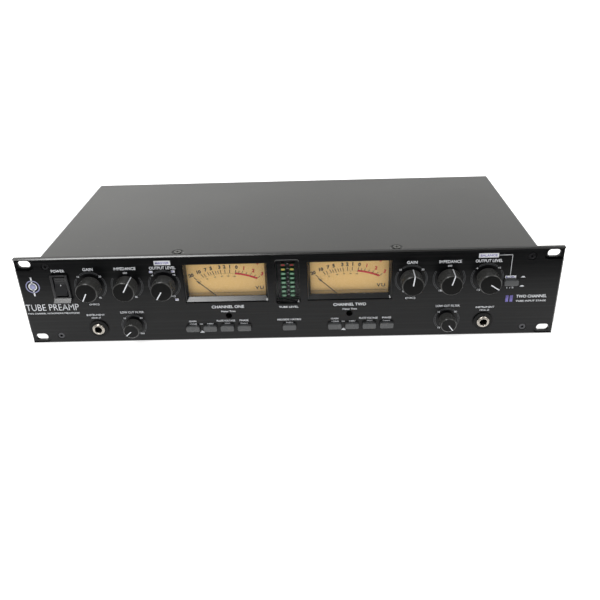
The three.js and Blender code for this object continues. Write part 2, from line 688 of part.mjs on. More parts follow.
function addRearSockets() {
  const group = new THREE.Group();
  for (const { name, x, pins } of xlrPlaces) add(group, name, xlrSocket(pins), "nickel", x, shell.rear, xlr.z);
  add(group, "mains_inlet", mainsInlet(), "knobBlack", inlet.x, 0, inlet.z);
  return group;
}

unit.add(addShell(), addRotaries(), addSwitches(), addMeter(1, -meter.x), addMeter(2, meter.x));
unit.add(addElectronics(), addRearSockets());

const preamplifier = new THREE.Group();
preamplifier.add(unit);

export default preamplifier;
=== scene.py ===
# A two-channel tube preamplifier for a 19-inch rack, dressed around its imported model.
import json
import math

import bmesh
import bpy
from mathutils import Matrix, Vector

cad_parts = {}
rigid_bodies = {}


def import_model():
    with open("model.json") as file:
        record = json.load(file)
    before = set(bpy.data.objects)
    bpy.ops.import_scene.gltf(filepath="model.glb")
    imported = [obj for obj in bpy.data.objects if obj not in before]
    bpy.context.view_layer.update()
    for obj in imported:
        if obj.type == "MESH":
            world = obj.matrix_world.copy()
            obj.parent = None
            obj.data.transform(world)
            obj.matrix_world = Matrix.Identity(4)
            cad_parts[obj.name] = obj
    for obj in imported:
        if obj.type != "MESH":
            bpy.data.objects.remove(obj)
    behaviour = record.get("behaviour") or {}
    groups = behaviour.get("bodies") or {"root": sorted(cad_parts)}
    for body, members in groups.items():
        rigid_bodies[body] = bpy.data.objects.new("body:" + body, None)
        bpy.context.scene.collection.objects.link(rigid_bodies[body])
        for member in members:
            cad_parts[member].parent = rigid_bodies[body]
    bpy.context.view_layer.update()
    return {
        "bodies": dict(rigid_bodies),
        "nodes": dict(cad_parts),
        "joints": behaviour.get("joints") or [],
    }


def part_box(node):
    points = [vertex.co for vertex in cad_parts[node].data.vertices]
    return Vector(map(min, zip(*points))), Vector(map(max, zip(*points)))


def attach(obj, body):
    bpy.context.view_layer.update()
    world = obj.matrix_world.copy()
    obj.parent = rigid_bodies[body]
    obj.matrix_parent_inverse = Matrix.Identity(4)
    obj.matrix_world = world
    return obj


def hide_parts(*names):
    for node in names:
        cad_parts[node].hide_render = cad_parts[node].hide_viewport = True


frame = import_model()
mm = 0.001
panelLow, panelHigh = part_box("front_panel")
frontY = panelLow[1]  # the panel's front face
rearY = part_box("chassis_tray")[1][1]  # outside of the rear wall
joints = {joint["child"]: joint for joint in frame["joints"]}
scene = bpy.context.scene
print("frame loaded:", len(frame["nodes"]), "nodes")


# camera, light and floor
cameraView = {
    "place": (28.32, -492.16, 330.54),  # mm from the panel's foot, behind the front face
    "turn": (63.248, 1.342, -1.277),
    "lens": 37.95,
    "shiftX": -0.0068,
    "shiftY": -0.0683,
}
lighting = {
    "horizon": 2.0,  # brightness of the room behind the unit, low down
    "wall": 0.78,  # and a little higher up
    "ceiling": 0.35,
    "leftward": 1.3,
    "front": 0.22,
    "key": {"place": (-0.54, -0.86, 1.42), "size": (0.74, 0.42), "power": 7.6},
    "fill": {"place": (1.4, -0.9, 1.3), "size": (0.9, 0.9), "power": 5.0},
    "floorSize": 14.0,
    "floorGlow": 0.8,
    "tableEdge": -0.105,  # how far in front of the panel the dark starts in its reflection
}


def makeCamera(view):
    data = bpy.data.cameras.new("camera")
    data.lens = view["lens"]
    data.sensor_width = 36.0
    data.shift_x = view["shiftX"]
    data.shift_y = view["shiftY"]
    data.clip_start = 0.01
    camera = bpy.data.objects.new("camera", data)
    x, y, z = view["place"]
    camera.location = (x * mm, frontY + y * mm, z * mm)
    angles = [math.radians(a) for a in view["turn"]]
    aboutX, aboutY, aboutZ = (Matrix.Rotation(a, 3, axis) for a, axis in zip(angles, "XYZ"))
    turn = aboutX @ aboutY @ aboutZ
    camera.rotation_euler = turn.to_euler()
    scene.collection.objects.link(camera)
    scene.camera = camera


def makeAreaLight(name, spec):
    data = bpy.data.lights.new(name, "AREA")
    data.shape = "RECTANGLE"
    data.size, data.size_y = spec["size"]
    data.energy = spec["power"]
    light = bpy.data.objects.new(name, data)
    light.location = spec["place"]
    aim = Vector((0, 0, 0.04)) - Vector(spec["place"])
    light.rotation_euler = aim.to_track_quat("-Z", "Y").to_euler()
    scene.collection.objects.link(light)


def makeStudio(spec):
    world = bpy.data.worlds.new("studio")
    world.use_nodes = True
    nodes, links = world.node_tree.nodes, world.node_tree.links
    look = nodes.new("ShaderNodeTexCoord")
    split = nodes.new("ShaderNodeSeparateXYZ")
    links.new(look.outputs["Generated"], split.inputs["Vector"])

    def ramp(source, low, high, first, last):
        made = nodes.new("ShaderNodeMapRange")
        made.interpolation_type = "SMOOTHSTEP"
        for name, value in (("From Min", low), ("From Max", high), ("To Min", first), ("To Max", last)):
            made.inputs[name].default_value = value
        links.new(source, made.inputs["Value"])
        return made.outputs["Result"]

    def times(first, second):
        made = nodes.new("ShaderNodeMath")
        made.operation = "MULTIPLY"
        links.new(first, made.inputs[0])
        links.new(second, made.inputs[1])
        return made.outputs["Value"]

    low = ramp(split.outputs["Z"], 0.22, 0.46, spec["horizon"] / spec["wall"], 1.0)
    upward = ramp(split.outputs["Z"], 0.5, 0.85, spec["wall"], spec["ceiling"])
    leftward = ramp(split.outputs["X"], 0.2, -0.45, 1.0, spec["leftward"])
    upward = times(times(upward, low), leftward)
    behind = ramp(split.outputs["Y"], -0.1, 0.35, 0.0, 1.0)
    blend = nodes.new("ShaderNodeMix")
    blend.data_type = "FLOAT"
    links.new(behind, blend.inputs["Factor"])
    blend.inputs["A"].default_value = spec["front"]
    links.new(upward, blend.inputs["B"])
    links.new(blend.outputs["Result"], nodes["Background"].inputs["Strength"])
    nodes["Background"].inputs["Color"].default_value = (1.0, 1.0, 0.975, 1.0)
    scene.world = world
    scene.view_settings.view_transform = "Standard"
    for name in ("key", "fill"):
        makeAreaLight(name + "Light", spec[name])
    half = spec["floorSize"] / 2
    mesh = bpy.data.meshes.new("floor")
    mesh.from_pydata(
        [(-half, -half, 0), (half, -half, 0), (half, half, 0), (-half, half, 0)], [],
        [(0, 1, 2, 3)],
    )
    floor = bpy.data.objects.new("floor", mesh)
    floor.location.z = -0.0004
    scene.collection.objects.link(floor)
    paper = bpy.data.materials.new("paleFloor")
    paper.use_nodes = True
    shader = paper.node_tree.nodes["Principled BSDF"]
    shader.inputs["Base Color"].default_value = (0.9, 0.9, 0.9, 1)
    shader.inputs["Roughness"].default_value = 0.9
    shader.inputs["Specular IOR Level"].default_value = 0.1
    shader.inputs["Emission Color"].default_value = (1, 1, 1, 1)
    shader.inputs["Emission Strength"].default_value = spec["floorGlow"]
    mesh.materials.append(paper)
    # nearer than the table's edge the room is dark: only reflections see this sheet
    near = frontY + spec["tableEdge"]
    dark = bpy.data.meshes.new("darkRoom")
    dark.from_pydata(
        [(-2, near - 2.5, 0), (2, near - 2.5, 0), (2, near, 0), (-2, near, 0)], [],
        [(0, 1, 2, 3)],
    )
    sheet = bpy.data.objects.new("darkRoom", dark)
    sheet.location.z = 0.0003
    scene.collection.objects.link(sheet)
    sheet.visible_camera = False
    sheet.visible_diffuse = False
    sheet.visible_shadow = False
    sheet.visible_transmission = False
    black = bpy.data.materials.new("darkSheet")
    black.use_nodes = True
    black.node_tree.nodes["Principled BSDF"].inputs["Base Color"].default_value = (0.004, 0.004, 0.004, 1)
    black.node_tree.nodes["Principled BSDF"].inputs["Specular IOR Level"].default_value = 0.0
    dark.materials.append(black)


makeCamera(cameraView)
makeStudio(lighting)
print("camera, lights and floor ready")


# shader maths
class Sock:
    def __init__(self, graph, socket):
        self.graph = graph
        self.socket = socket

    def maths(self, operation, other):
        return self.graph.node("Math", {"operation": operation}, {0: self, 1: other})

    def __add__(self, other):
        return self.maths("ADD", other)

    __radd__ = __add__

    def __mul__(self, other):
        return self.maths("MULTIPLY", other)

    __rmul__ = __mul__


class Graph:
    def __init__(self, name):
        self.material = bpy.data.materials.new(name)
        self.material.use_nodes = True
        self.tree = self.material.node_tree
        self.shader = self.tree.nodes["Principled BSDF"]
        self.object = self.node("TexCoord", {}, {}, "Object")

    def node(self, kind, settings, values, output=0):
        made = self.tree.nodes.new("ShaderNode" + kind)
        for key, value in settings.items():
            if key == "stops":
                self.setStops(made.color_ramp, value)
            else:
                setattr(made, key, value)
        for key, value in values.items():
            self.feed(made.inputs[key], value)
        return Sock(self, made.outputs[output])

    def feed(self, socket, value):
        if isinstance(value, Sock):
            self.tree.links.new(value.socket, socket)
        else:
            socket.default_value = value

    def setStops(self, ramp, stops):
        while len(ramp.elements) < len(stops):
            ramp.elements.new(0.5)
        for element, (place, shade) in zip(ramp.elements, stops):
            element.position = place
            element.color = (shade, shade, shade, 1)

    def set(self, **values):
        for key, value in values.items():
            self.feed(self.shader.inputs[key.replace("_", " ")], value)

    def stretched(self, scale):
        return self.node("Mapping", {}, {"Vector": self.object, "Scale": scale})

    def noise(self, scale, detail=3.0, vector=None, roughness=0.55):
        spot = vector or self.object
        return self.node(
            "TexNoise", {},
            {"Vector": spot, "Scale": scale, "Detail": detail, "Roughness": roughness},
        )

    def band(self, value, low, high):
        settings = {"stops": [(low, 0.0), (high, 1.0)]}
        return self.node("ValToRGB", settings, {"Fac": value})

    def mix(self, factor, first, second):
        return self.node("Mix", {"data_type": "RGBA"}, {0: factor, 6: first, 7: second}, 2)

    def bump(self, height, strength, distance):
        return self.node("Bump", {}, {"Strength": strength, "Distance": distance, "Height": height})


def rgb(r, g, b):
    return (r, g, b, 1.0)


# finishes
def anodisedPanel():
    g = Graph("blackPanel")
    grain = g.noise(1.0, 4.0, g.stretched((18, 900, 2600)), 0.6)
    cloud = g.noise(14.0, 3.0)
    rubbed = g.band(g.noise(55.0, 6.0, None, 0.7), 0.62, 0.78)
    brushed = g.band(g.noise(1.0, 4.0, g.stretched((5, 300, 520)), 0.7), 0.48, 0.72)
    colour = g.mix(grain, rgb(0.0006, 0.0008, 0.0012), rgb(0.0024, 0.0027, 0.0034))
    colour = g.mix(brushed * 0.55, colour, rgb(0.0165, 0.0168, 0.0175))
    g.set(
        Base_Color=g.mix(rubbed * 0.35, colour, rgb(0.014, 0.014, 0.0145)),
        Roughness=0.24 + grain * 0.08 + cloud * 0.05 + brushed * 0.1,
        Metallic=0.0,
        Normal=g.bump(grain, 0.1, 0.00005),
        Specular_IOR_Level=0.29,
    )
    return g.material


def coverPaint():
    g = Graph("satinCover")
    peel = g.noise(900.0, 2.0)
    cloud = g.noise(6.0, 4.0)
    scuffs = g.band(g.noise(1.0, 6.0, g.stretched((26, 160, 60)), 0.72), 0.64, 0.8)
    dust = g.band(g.noise(420.0, 2.0), 0.7, 0.78)
    colour = g.mix(cloud, rgb(0.026, 0.0265, 0.0262), rgb(0.036, 0.0365, 0.036))
    dirty = g.mix(scuffs * 0.22, colour, rgb(0.12, 0.12, 0.118))
    g.set(
        Base_Color=g.mix(dust * 0.35, dirty, rgb(0.2, 0.2, 0.195)),
        Roughness=0.36 + cloud * 0.12 + scuffs * 0.12,
        Normal=g.bump(peel, 0.16, 0.00008),
        Specular_IOR_Level=0.62,
    )
    return g.material


def mouldedPlastic(name, colour, roughness, grainScale=2600.0, grainDepth=0.12, specular=0.5):
    g = Graph(name)
    grain = g.noise(grainScale, 2.0)
    cloud = g.noise(90.0, 3.0)
    lighter = tuple(min(1.0, c * 1.35 + 0.002) for c in colour)
    g.set(
        Base_Color=g.mix(cloud, rgb(*colour), rgb(*lighter)),
        Roughness=roughness + cloud * 0.1,
        Normal=g.bump(grain, grainDepth, 0.00005),
        Specular_IOR_Level=specular,
    )
    return g.material


def metal(name, colour, roughness, marks=0.3):
    g = Graph(name)
    cloud = g.noise(240.0, 4.0)
    tarnish = g.band(g.noise(600.0, 5.0, None, 0.65), 0.5, 0.75)
    dull = tuple(c * 0.55 for c in colour)
    g.set(
        Base_Color=g.mix(tarnish * marks, rgb(*colour), rgb(*dull)),
        Metallic=1.0,
        Roughness=roughness + cloud * 0.12 + tarnish * 0.1,
        Normal=g.bump(cloud, 0.04, 0.00004),
    )
    return g.material


def ink(name, colour, glow=0.0):
    g = Graph(name)
    speckle = g.noise(1500.0, 3.0)
    faint = tuple(c * 0.86 for c in colour)
    g.set(Base_Color=g.mix(speckle, rgb(*faint), rgb(*colour)), Roughness=0.62 + speckle * 0.1)
    if glow:
        g.set(Emission_Color=rgb(*colour), Emission_Strength=glow)
    return g.material


def dialCard():
    g = Graph("dialCard")
    fibre = g.noise(800.0, 4.0)
    stain = g.noise(24.0, 3.0)
    warm = g.mix(stain, rgb(0.74, 0.46, 0.16), rgb(0.86, 0.57, 0.21))
    g.set(
        Base_Color=g.mix(fibre * 0.25, warm, rgb(0.76, 0.49, 0.18)),
        Roughness=0.72 + fibre * 0.1,
        Specular_IOR_Level=0.2,
    )
    return g.material


def clearMoulding(name, colour, alpha, roughness=0.04):
    g = Graph(name)
    haze = g.band(g.noise(160.0, 5.0, None, 0.7), 0.6, 0.85)
    g.set(
        Base_Color=rgb(*colour),
        Roughness=roughness + haze * 0.12,
        Alpha=alpha + haze * 0.03,
        Specular_IOR_Level=0.5,
    )
    return g.material


def circuitBoard():
    g = Graph("greenBoard")
    tracks = g.node(
        "TexBrick", {"offset": 0.5}, {"Vector": g.object, "Scale": 120.0, "Mortar Size": 0.035},
        1,
    )
    blotch = g.noise(40.0, 3.0)
    green = g.mix(blotch, rgb(0.008, 0.075, 0.028), rgb(0.014, 0.11, 0.045))
    g.set(
        Base_Color=g.mix(tracks * 0.5, green, rgb(0.03, 0.2, 0.08)),
        Roughness=0.34 + blotch * 0.16,
        Normal=g.bump(tracks, 0.25, 0.00005),
    )
    return g.material


def windingTape():
    g = Graph("windingTape")
    wraps = g.node(
        "TexWave", {"bands_direction": "X"},
        {"Vector": g.object, "Scale": 140.0, "Distortion": 2.5}, 1,
    )
    blotch = g.noise(60.0, 3.0)
    g.set(
        Base_Color=g.mix(wraps, rgb(0.42, 0.26, 0.045), rgb(0.58, 0.4, 0.08)),
        Roughness=0.3 + blotch * 0.2,
        Normal=g.bump(wraps, 0.4, 0.0003),
        Coat_Weight=0.3,
    )
    return g.material


finish = {
    "panel": anodisedPanel(),
    "cover": coverPaint(),
    "edge": mouldedPlastic("edgeGloss", (0.02, 0.02, 0.02), 0.12, 900.0, 0.02, 1.0),
    # one black plastic in two colours: the cap is lighter as painted light on its lit flank, the front disc
    # darker as painted shade on its face
    "knob": mouldedPlastic("knobBlack", (0.05, 0.05, 0.048), 0.22, 3200.0, 0.03, 0.42),
    "knobFace": mouldedPlastic("knobFace", (0.0025, 0.0025, 0.0024), 0.36, 2200.0, 0.08, 0.19),
    "key": mouldedPlastic("keyGrey", (0.06, 0.062, 0.064), 0.22, 2400.0, 0.05, 0.6),
    "rocker": mouldedPlastic("rockerBlack", (0.016, 0.016, 0.018), 0.26, 2600.0, 0.06, 0.6),
    "caseBlack": mouldedPlastic("caseBlack", (0.012, 0.012, 0.013), 0.3),
    "bezel": mouldedPlastic("bezelBlack", (0.014, 0.015, 0.016), 0.13, 1800.0, 0.02, 0.7),
    "blackScrew": metal("blackScrew", (0.085, 0.085, 0.09), 0.24, 0.4),
    "screw": metal("wornScrew", (0.13, 0.13, 0.125), 0.24, 0.7),
    "nickel": metal("nickelPlate", (0.5, 0.465, 0.415), 0.2, 0.5),
    "gold": metal("goldContact", (0.83, 0.6, 0.25), 0.2, 0.1),
    "blackRing": mouldedPlastic("blackWasher", (0.004, 0.004, 0.004), 0.4, 2600.0, 0.12, 0.2),
    "insert": mouldedPlastic("socketInsert", (0.012, 0.012, 0.012), 0.4),
    "socketShell": metal("blackChrome", (0.07, 0.07, 0.075), 0.24, 0.3),
    "potMetal": metal("potShell", (0.6, 0.6, 0.58), 0.3, 0.3),
    "white": ink("whiteInk", (0.86, 0.88, 0.92)),
    "grey": ink("greyInk", (0.16, 0.165, 0.175)),
    "violet": ink("violetInk", (0.2, 0.17, 0.5)),
    "lilac": ink("lilacInk", (0.35, 0.36, 0.58)),
    "dialInk": ink("brownInk", (0.008, 0.005, 0.004)),
    "redInk": ink("redInk", (0.66, 0.01, 0.01)),
    "rustInk": ink("rustInk", (0.05, 0.018, 0.01)),
    "card": dialCard(),
    "pointer": mouldedPlastic("pointerLacquer", (0.012, 0.008, 0.006), 0.4),
    # a flat grey standing in for the bright highlight along the lens's top edge: a painted highlight
    "wornEdge": mouldedPlastic("wornEdge", (0.2, 0.2, 0.2), 0.35),
    "window": clearMoulding("clearWindow", (0.9, 0.92, 0.93), 0.03),
    "smoke": clearMoulding("smokedWindow", (0.004, 0.004, 0.005), 0.14, 0.05),
    "glass": clearMoulding("tubeGlass", (0.85, 0.9, 0.9), 0.16),
    "board": circuitBoard(),
    "winding": windingTape(),
    "plate": metal("tubePlate", (0.16, 0.16, 0.165), 0.45, 0.3),
    "mica": mouldedPlastic("mica", (0.5, 0.46, 0.36), 0.3),
    "ceramic": mouldedPlastic("paleNylon", (0.3, 0.29, 0.26), 0.4),
    "sleeve": mouldedPlastic("capSleeve", (0.02, 0.03, 0.07), 0.25),
    "film": mouldedPlastic("filmCap", (0.35, 0.06, 0.03), 0.35),
    "relay": mouldedPlastic("relayBlue", (0.03, 0.08, 0.2), 0.35),
    "redLight": ink("redLight", (0.42, 0.05, 0.055), 0.22),
    "yellowLight": ink("yellowLight", (0.66, 0.55, 0.12), 0.3),
    "greenLight": ink("greenLight", (0.27, 0.5, 0.34), 0.3),
}
print("finishes ready:", len(finish))


# mesh helpers: places in mm, x right, y back from the panel's front face, z up
def placed(x, y, z):
    return (x * mm, frontY + y * mm, z * mm)


def tidyMesh(mesh, sharp=32.0, recalculate=True):
    work = bmesh.new()
    work.from_mesh(mesh)
    bmesh.ops.remove_doubles(work, verts=work.verts, dist=1e-6)
    if recalculate:
        bmesh.ops.recalc_face_normals(work, faces=work.faces)
    work.to_mesh(mesh)
    work.free()
    for face in mesh.polygons:
        face.use_smooth = True
    mesh.set_sharp_from_angle(angle=math.radians(sharp))


def addPiece(name, mesh, look, body):
    mesh.materials.clear()
    mesh.materials.append(finish[look])
    piece = bpy.data.objects.new(name, mesh)
    scene.collection.objects.link(piece)
    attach(piece, body)
    return piece


def meshOf(parts, sharp=32.0, name="raw"):
    verts, faces = [], []
    for partVerts, partFaces in parts:
        start = len(verts)
        verts += [placed(*v) for v in partVerts]
        faces += [tuple(start + i for i in face) for face in partFaces]
    mesh = bpy.data.meshes.new(name)
    mesh.from_pydata(verts, [], faces)
    tidyMesh(mesh, sharp)
    return mesh


def solidPiece(name, parts, look, body="chassis", sharp=32.0):
    return addPiece(name, meshOf(parts, sharp, name), look, body)


def rounded(piece, width, segments=2, angle=40):
    bevel = piece.modifiers.new("edges", "BEVEL")
    bevel.width = width * mm
    bevel.segments = segments
    bevel.limit_method = "ANGLE"
    bevel.angle_limit = math.radians(angle)
    bevel.harden_normals = False
    return piece


def block(x0, x1, y0, y1, z0, z1):
    verts = [(x, y, z) for x in (x0, x1) for y in (y0, y1) for z in (z0, z1)]
    faces = [(0, 1, 3, 2), (4, 6, 7, 5), (0, 4, 5, 1), (2, 3, 7, 6), (0, 2, 6, 4), (1, 5, 7, 3)]
    return verts, faces


def lathe(centre, profile, sides=64, axis="Y"):
    # profile: (radius, height along the axis); a radius of 0 closes on the axis
    cx, cy, cz = centre
    verts = []
    for r, h in profile:
        for k in range(sides):
            a = 2 * math.pi * k / sides
            if axis == "Y":
                verts.append((cx + r * math.sin(a), cy + h, cz + r * math.cos(a)))
            else:
                verts.append((cx + r * math.cos(a), cy + r * math.sin(a), cz + h))
    faces = []
    for row in range(len(profile) - 1):
        for k in range(sides):
            a = row * sides + k
            b = row * sides + (k + 1) % sides
            faces.append((a, b, b + sides, a + sides))
    return verts, faces


def rod(x, z, r, y0, y1, sides):
    return lathe((x, 0, z), [(0, y0), (r, y0), (r, y1), (0, y1)], sides)


def closedBetween(first, last):
    # walls between two rings of as many points, and a cap on each
    count = len(first)
    sides = [(i, (i + 1) % count, count + (i + 1) % count, count + i) for i in range(count)]
    return first + last, sides + [tuple(range(count))[::-1], tuple(range(count, 2 * count))]


def outlinePrism(outline, y0, y1):
    return closedBetween([(x, y0, z) for x, z in outline], [(x, y1, z) for x, z in outline])


def profileAlongX(outline, x0, x1):
    return closedBetween([(x0, y, z) for y, z in outline], [(x1, y, z) for y, z in outline])


def crossSlot(x, z, y0, y1, arm, half):
    # the two cuts of a cross-head drive
    return [block(x - a, x + a, y0, y1, z - b, z + b) for a, b in ((arm, half), (half, arm))]


def roundedOutline(x, z, width, height, r, steps=6):
    points = []
    for sx, sz, start in ((1, 1, 0), (-1, 1, 90), (-1, -1, 180), (1, -1, 270)):
        for k in range(steps + 1):
            a = math.radians(start + 90 * k / steps)
            cx = x + sx * (width / 2 - r)
            cz = z + sz * (height / 2 - r)
            points.append((cx + r * math.cos(a), cz + r * math.sin(a)))
    return points


def spun(parts, degrees, centre):
    # turns parts about a Y axis through centre, clockwise from the front
    a = math.radians(degrees)
    cx, cz = centre
    verts, faces = parts
    turned = []
    for x, y, z in verts:
        dx, dz = x - cx, z - cz
        turned.append(
            (cx + dx * math.cos(a) + dz * math.sin(a), y, cz - dx * math.sin(a) + dz * math.cos(a))
        )
    return turned, faces


# geometry nodes: copies of a small piece along a line
def lineOfCopiesTree():
    tree = bpy.data.node_groups.new("lineOfCopies", "GeometryNodeTree")
    face = tree.interface
    inputs = {"Template": "Object", "Count": "Int", "Start": "Vector", "Step": "Vector", "Finish": "Material"}
    for name, kind in inputs.items():
        face.new_socket(name, in_out="INPUT", socket_type="NodeSocket" + kind)
    face.new_socket("Geometry", in_out="OUTPUT", socket_type="NodeSocketGeometry")
    nodes, links = tree.nodes, tree.links
    given = nodes.new("NodeGroupInput")
    result = nodes.new("NodeGroupOutput")
    line = nodes.new("GeometryNodeMeshLine")
    info = nodes.new("GeometryNodeObjectInfo")
    copies = nodes.new("GeometryNodeInstanceOnPoints")
    real = nodes.new("GeometryNodeRealizeInstances")
    paint = nodes.new("GeometryNodeSetMaterial")
    wires = (
        (given, "Template", info, "Object"),
        (given, "Count", line, "Count"),
        (given, "Start", line, "Start Location"),
        (given, "Step", line, "Offset"),
        (line, "Mesh", copies, "Points"),
        (info, "Geometry", copies, "Instance"),
        (copies, "Instances", real, "Geometry"),
        (real, "Geometry", paint, "Geometry"),
        (given, "Finish", paint, "Material"),
        (paint, "Geometry", result, "Geometry"),
    )
    for source, leaving, target, entering in wires:
        links.new(source.outputs[leaving], target.inputs[entering])
    return tree


lineOfCopies = lineOfCopiesTree()


def grownMesh(tree, values):
    # runs a tree with these inputs and gives back a plain mesh
    host = bpy.data.objects.new("host", bpy.data.meshes.new("host"))
    scene.collection.objects.link(host)
    modifier = host.modifiers.new("grow", "NODES")
    modifier.node_group = tree
    for item in tree.interface.items_tree:
        if item.in_out == "INPUT" and item.name in values:
            modifier[item.identifier] = values[item.name]
    graph = bpy.context.evaluated_depsgraph_get()
    mesh = bpy.data.meshes.new_from_object(host.evaluated_get(graph))
    bpy.data.objects.remove(host)
    return mesh


def rowOfCopies(name, parts, look, count, step, body="chassis"):
    # parts is the first copy in mm; step is the way to the next one in mm
    verts = [placed(*v) for v in parts[0]]
    template = bpy.data.meshes.new(name + "Template")
    template.from_pydata(verts, [], parts[1])
    source = bpy.data.objects.new(name + "Template", template)
    scene.collection.objects.link(source)
    values = {
        "Template": source,
        "Count": count,
        "Start": (0.0, 0.0, 0.0),
        "Step": tuple(s * mm for s in step),
        "Finish": finish[look],
    }
    mesh = grownMesh(lineOfCopies, values)
    bpy.data.objects.remove(source)
    tidyMesh(mesh)
    return addPiece(name, mesh, look, body)


def joinedMesh(name, meshes, sharp=32.0):
    work = bmesh.new()
    for mesh in meshes:
        work.from_mesh(mesh)
    joined = bpy.data.meshes.new(name)
    work.to_mesh(joined)
    work.free()
    tidyMesh(joined, sharp)
    return joined


# printed lettering
printing = {"lift": 0.03, "thick": 0.04, "curveSteps": 3}


def letterMesh(words, x, z, tall, width=None, y=0.0, turn=0.0, spacing=1.0, weight=0.02):
    curve = bpy.data.curves.new("letters", "FONT")
    curve.body = words
    curve.align_x = "CENTER"
    curve.align_y = "CENTER"
    curve.resolution_u = printing["curveSteps"]
    curve.space_character = spacing
    curve.offset = weight
    holder = bpy.data.objects.new("letters", curve)
    scene.collection.objects.link(holder)
    graph = bpy.context.evaluated_depsgraph_get()
    mesh = bpy.data.meshes.new_from_object(holder.evaluated_get(graph))
    bpy.data.objects.remove(holder)
    xs = [v.co.x for v in mesh.vertices]
    ys = [v.co.y for v in mesh.vertices]
    midX, midY = (min(xs) + max(xs)) / 2, (min(ys) + max(ys)) / 2
    scaleY = tall / (max(ys) - min(ys))
    scaleX = width / (max(xs) - min(xs)) if width else scaleY
    a = math.radians(turn)
    for v in mesh.vertices:
        dx, dz = (v.co.x - midX) * scaleX, (v.co.y - midY) * scaleY
        v.co = placed(x + dx * math.cos(a) + dz * math.sin(a), y, z - dx * math.sin(a) + dz * math.cos(a))
    return mesh


def printPiece(name, meshes, look, body="chassis", lift=printing["lift"]):
    # joins flat print, gives it the thickness of ink and lifts it off its face
    joined = joinedMesh(name, meshes)
    work = bmesh.new()
    work.from_mesh(joined)
    for face in work.faces:
        if face.normal.y > 0:
            face.normal_flip()
    thick = printing["thick"] * mm
    top = bmesh.ops.extrude_face_region(work, geom=work.faces[:])
    moved = [v for v in top["geom"] if isinstance(v, bmesh.types.BMVert)]
    bmesh.ops.translate(work, vec=(0, -thick, 0), verts=moved)
    bmesh.ops.translate(work, vec=(0, -lift * mm, 0), verts=work.verts)
    bmesh.ops.recalc_face_normals(work, faces=work.faces)
    work.to_mesh(joined)
    work.free()
    return addPiece(name, joined, look, body)


def flatStrip(points, y=0.0):
    mesh = bpy.data.meshes.new("strip")
    mesh.from_pydata([placed(x, y, z) for x, z in points], [], [tuple(range(len(points)))])
    return mesh


def ribbon(verts):
    # a flat band over pairs of points, one pair after the other
    faces = [(k, k + 1, k + 3, k + 2) for k in range(0, len(verts) - 2, 2)]
    mesh = bpy.data.meshes.new("arc")
    mesh.from_pydata(verts, [], faces)
    return mesh


def arcStrip(x, z, r, thick, first, last, y=0.0, steps=24):
    # a curved bar of ink about x, z; angles in degrees clockwise from the top
    verts = []
    for k in range(steps + 1):
        a = math.radians(first + (last - first) * k / steps)
        for radius in (r - thick / 2, r + thick / 2):
            verts.append(placed(x + radius * math.sin(a), y, z + radius * math.cos(a)))
    return ribbon(verts)


def dress(node, look):
    for slot in frame["nodes"][node].material_slots:
        slot.material = finish[look]


def carved(blank, cutters, sharp=32.0):
    # the blank's mesh with every cutter taken out of it
    holder = bpy.data.objects.new("blank", meshOf([blank]))
    scene.collection.objects.link(holder)
    tools = []
    for cutter in cutters:
        tool = bpy.data.objects.new("cutter", meshOf([cutter]))
        scene.collection.objects.link(tool)
        tools.append(tool)
        take = holder.modifiers.new("take", "BOOLEAN")
        take.operation = "DIFFERENCE"
        take.solver = "EXACT"
        take.object = tool
    graph = bpy.context.evaluated_depsgraph_get()
    mesh = bpy.data.meshes.new_from_object(holder.evaluated_get(graph))
    for item in [holder] + tools:
        bpy.data.objects.remove(item)
    tidyMesh(mesh, sharp, recalculate=False)
    return mesh


def centreOf(node):
    low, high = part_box(node)
    return (
        (low[0] + high[0]) / 2 / mm,
        (low[1] + high[1]) / 2 / mm - frontY / mm,
        (low[2] + high[2]) / 2 / mm,
    )


def pivotOf(body):
    x, y, z = joints[body]["pos_m"]
    return x / mm, (y - frontY) / mm, z / mm


# shell
coverSpec = {"sheet": 1.2, "bend": 1.8, "dimpleR": 5.8, "floorR": 3.9, "dimpleDeep": 1.0, "dimpleY": 10.5}


def makeCover(spec):
    low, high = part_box("top_cover")
    x = high[0] / mm
    top = high[2] / mm
    y0 = (low[1] - frontY) / mm
    y1 = (high[1] - frontY) / mm
    sheet, bend = spec["sheet"], spec["bend"]
    outer, inner = [], []
    for side in (1, -1):
        arc = [math.radians(a) for a in range(0, 91, 15)]
        bendLine = [(x - bend + bend * math.cos(a), top - bend + bend * math.sin(a)) for a in arc]
        # short flats beside the bend keep the large faces evenly lit
        bendLine = [(x, top - bend - 0.8)] + bendLine + [(x - bend - 0.8, top)]
        thin = bend - sheet
        insideLine = [(x - bend + thin * math.cos(a), top - bend + thin * math.sin(a)) for a in arc]
        outer += [(side * px, pz) for px, pz in bendLine[::side]]
        inner += [(side * px, pz) for px, pz in insideLine[::side]]
    outline = [(x, 0.0)] + outer + [(-x, 0.0), (-x + sheet, 0.0)] + inner[::-1] + [(x - sheet, 0.0)]
    cutters = []
    for side in (-1, 1):
        cx = centreOf("cover_screw_left")[0] * -side
        deep = spec["dimpleDeep"]
        cone = [
            (0, -deep), (spec["floorR"], -deep), (spec["dimpleR"], 0),
            (spec["dimpleR"] + 0.5, 0.3), (0, 0.3),
        ]
        cutters.append(lathe((cx, spec["dimpleY"], top), cone, 40, "Z"))
    mesh = carved(outlinePrism(outline, y0, y1), cutters, 20)
    piece = addPiece("topCover", mesh, "cover", "chassis")
    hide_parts("top_cover")
    rounded(piece, 0.25, 2, 50)


def nodeBlank(node):
    # the node's own mesh as verts and faces in mm
    item = frame["nodes"][node]
    spots = [item.matrix_world @ v.co for v in item.data.vertices]
    points = [(p.x / mm, (p.y - frontY) / mm, p.z / mm) for p in spots]
    return points, [tuple(f.vertices) for f in item.data.polygons]


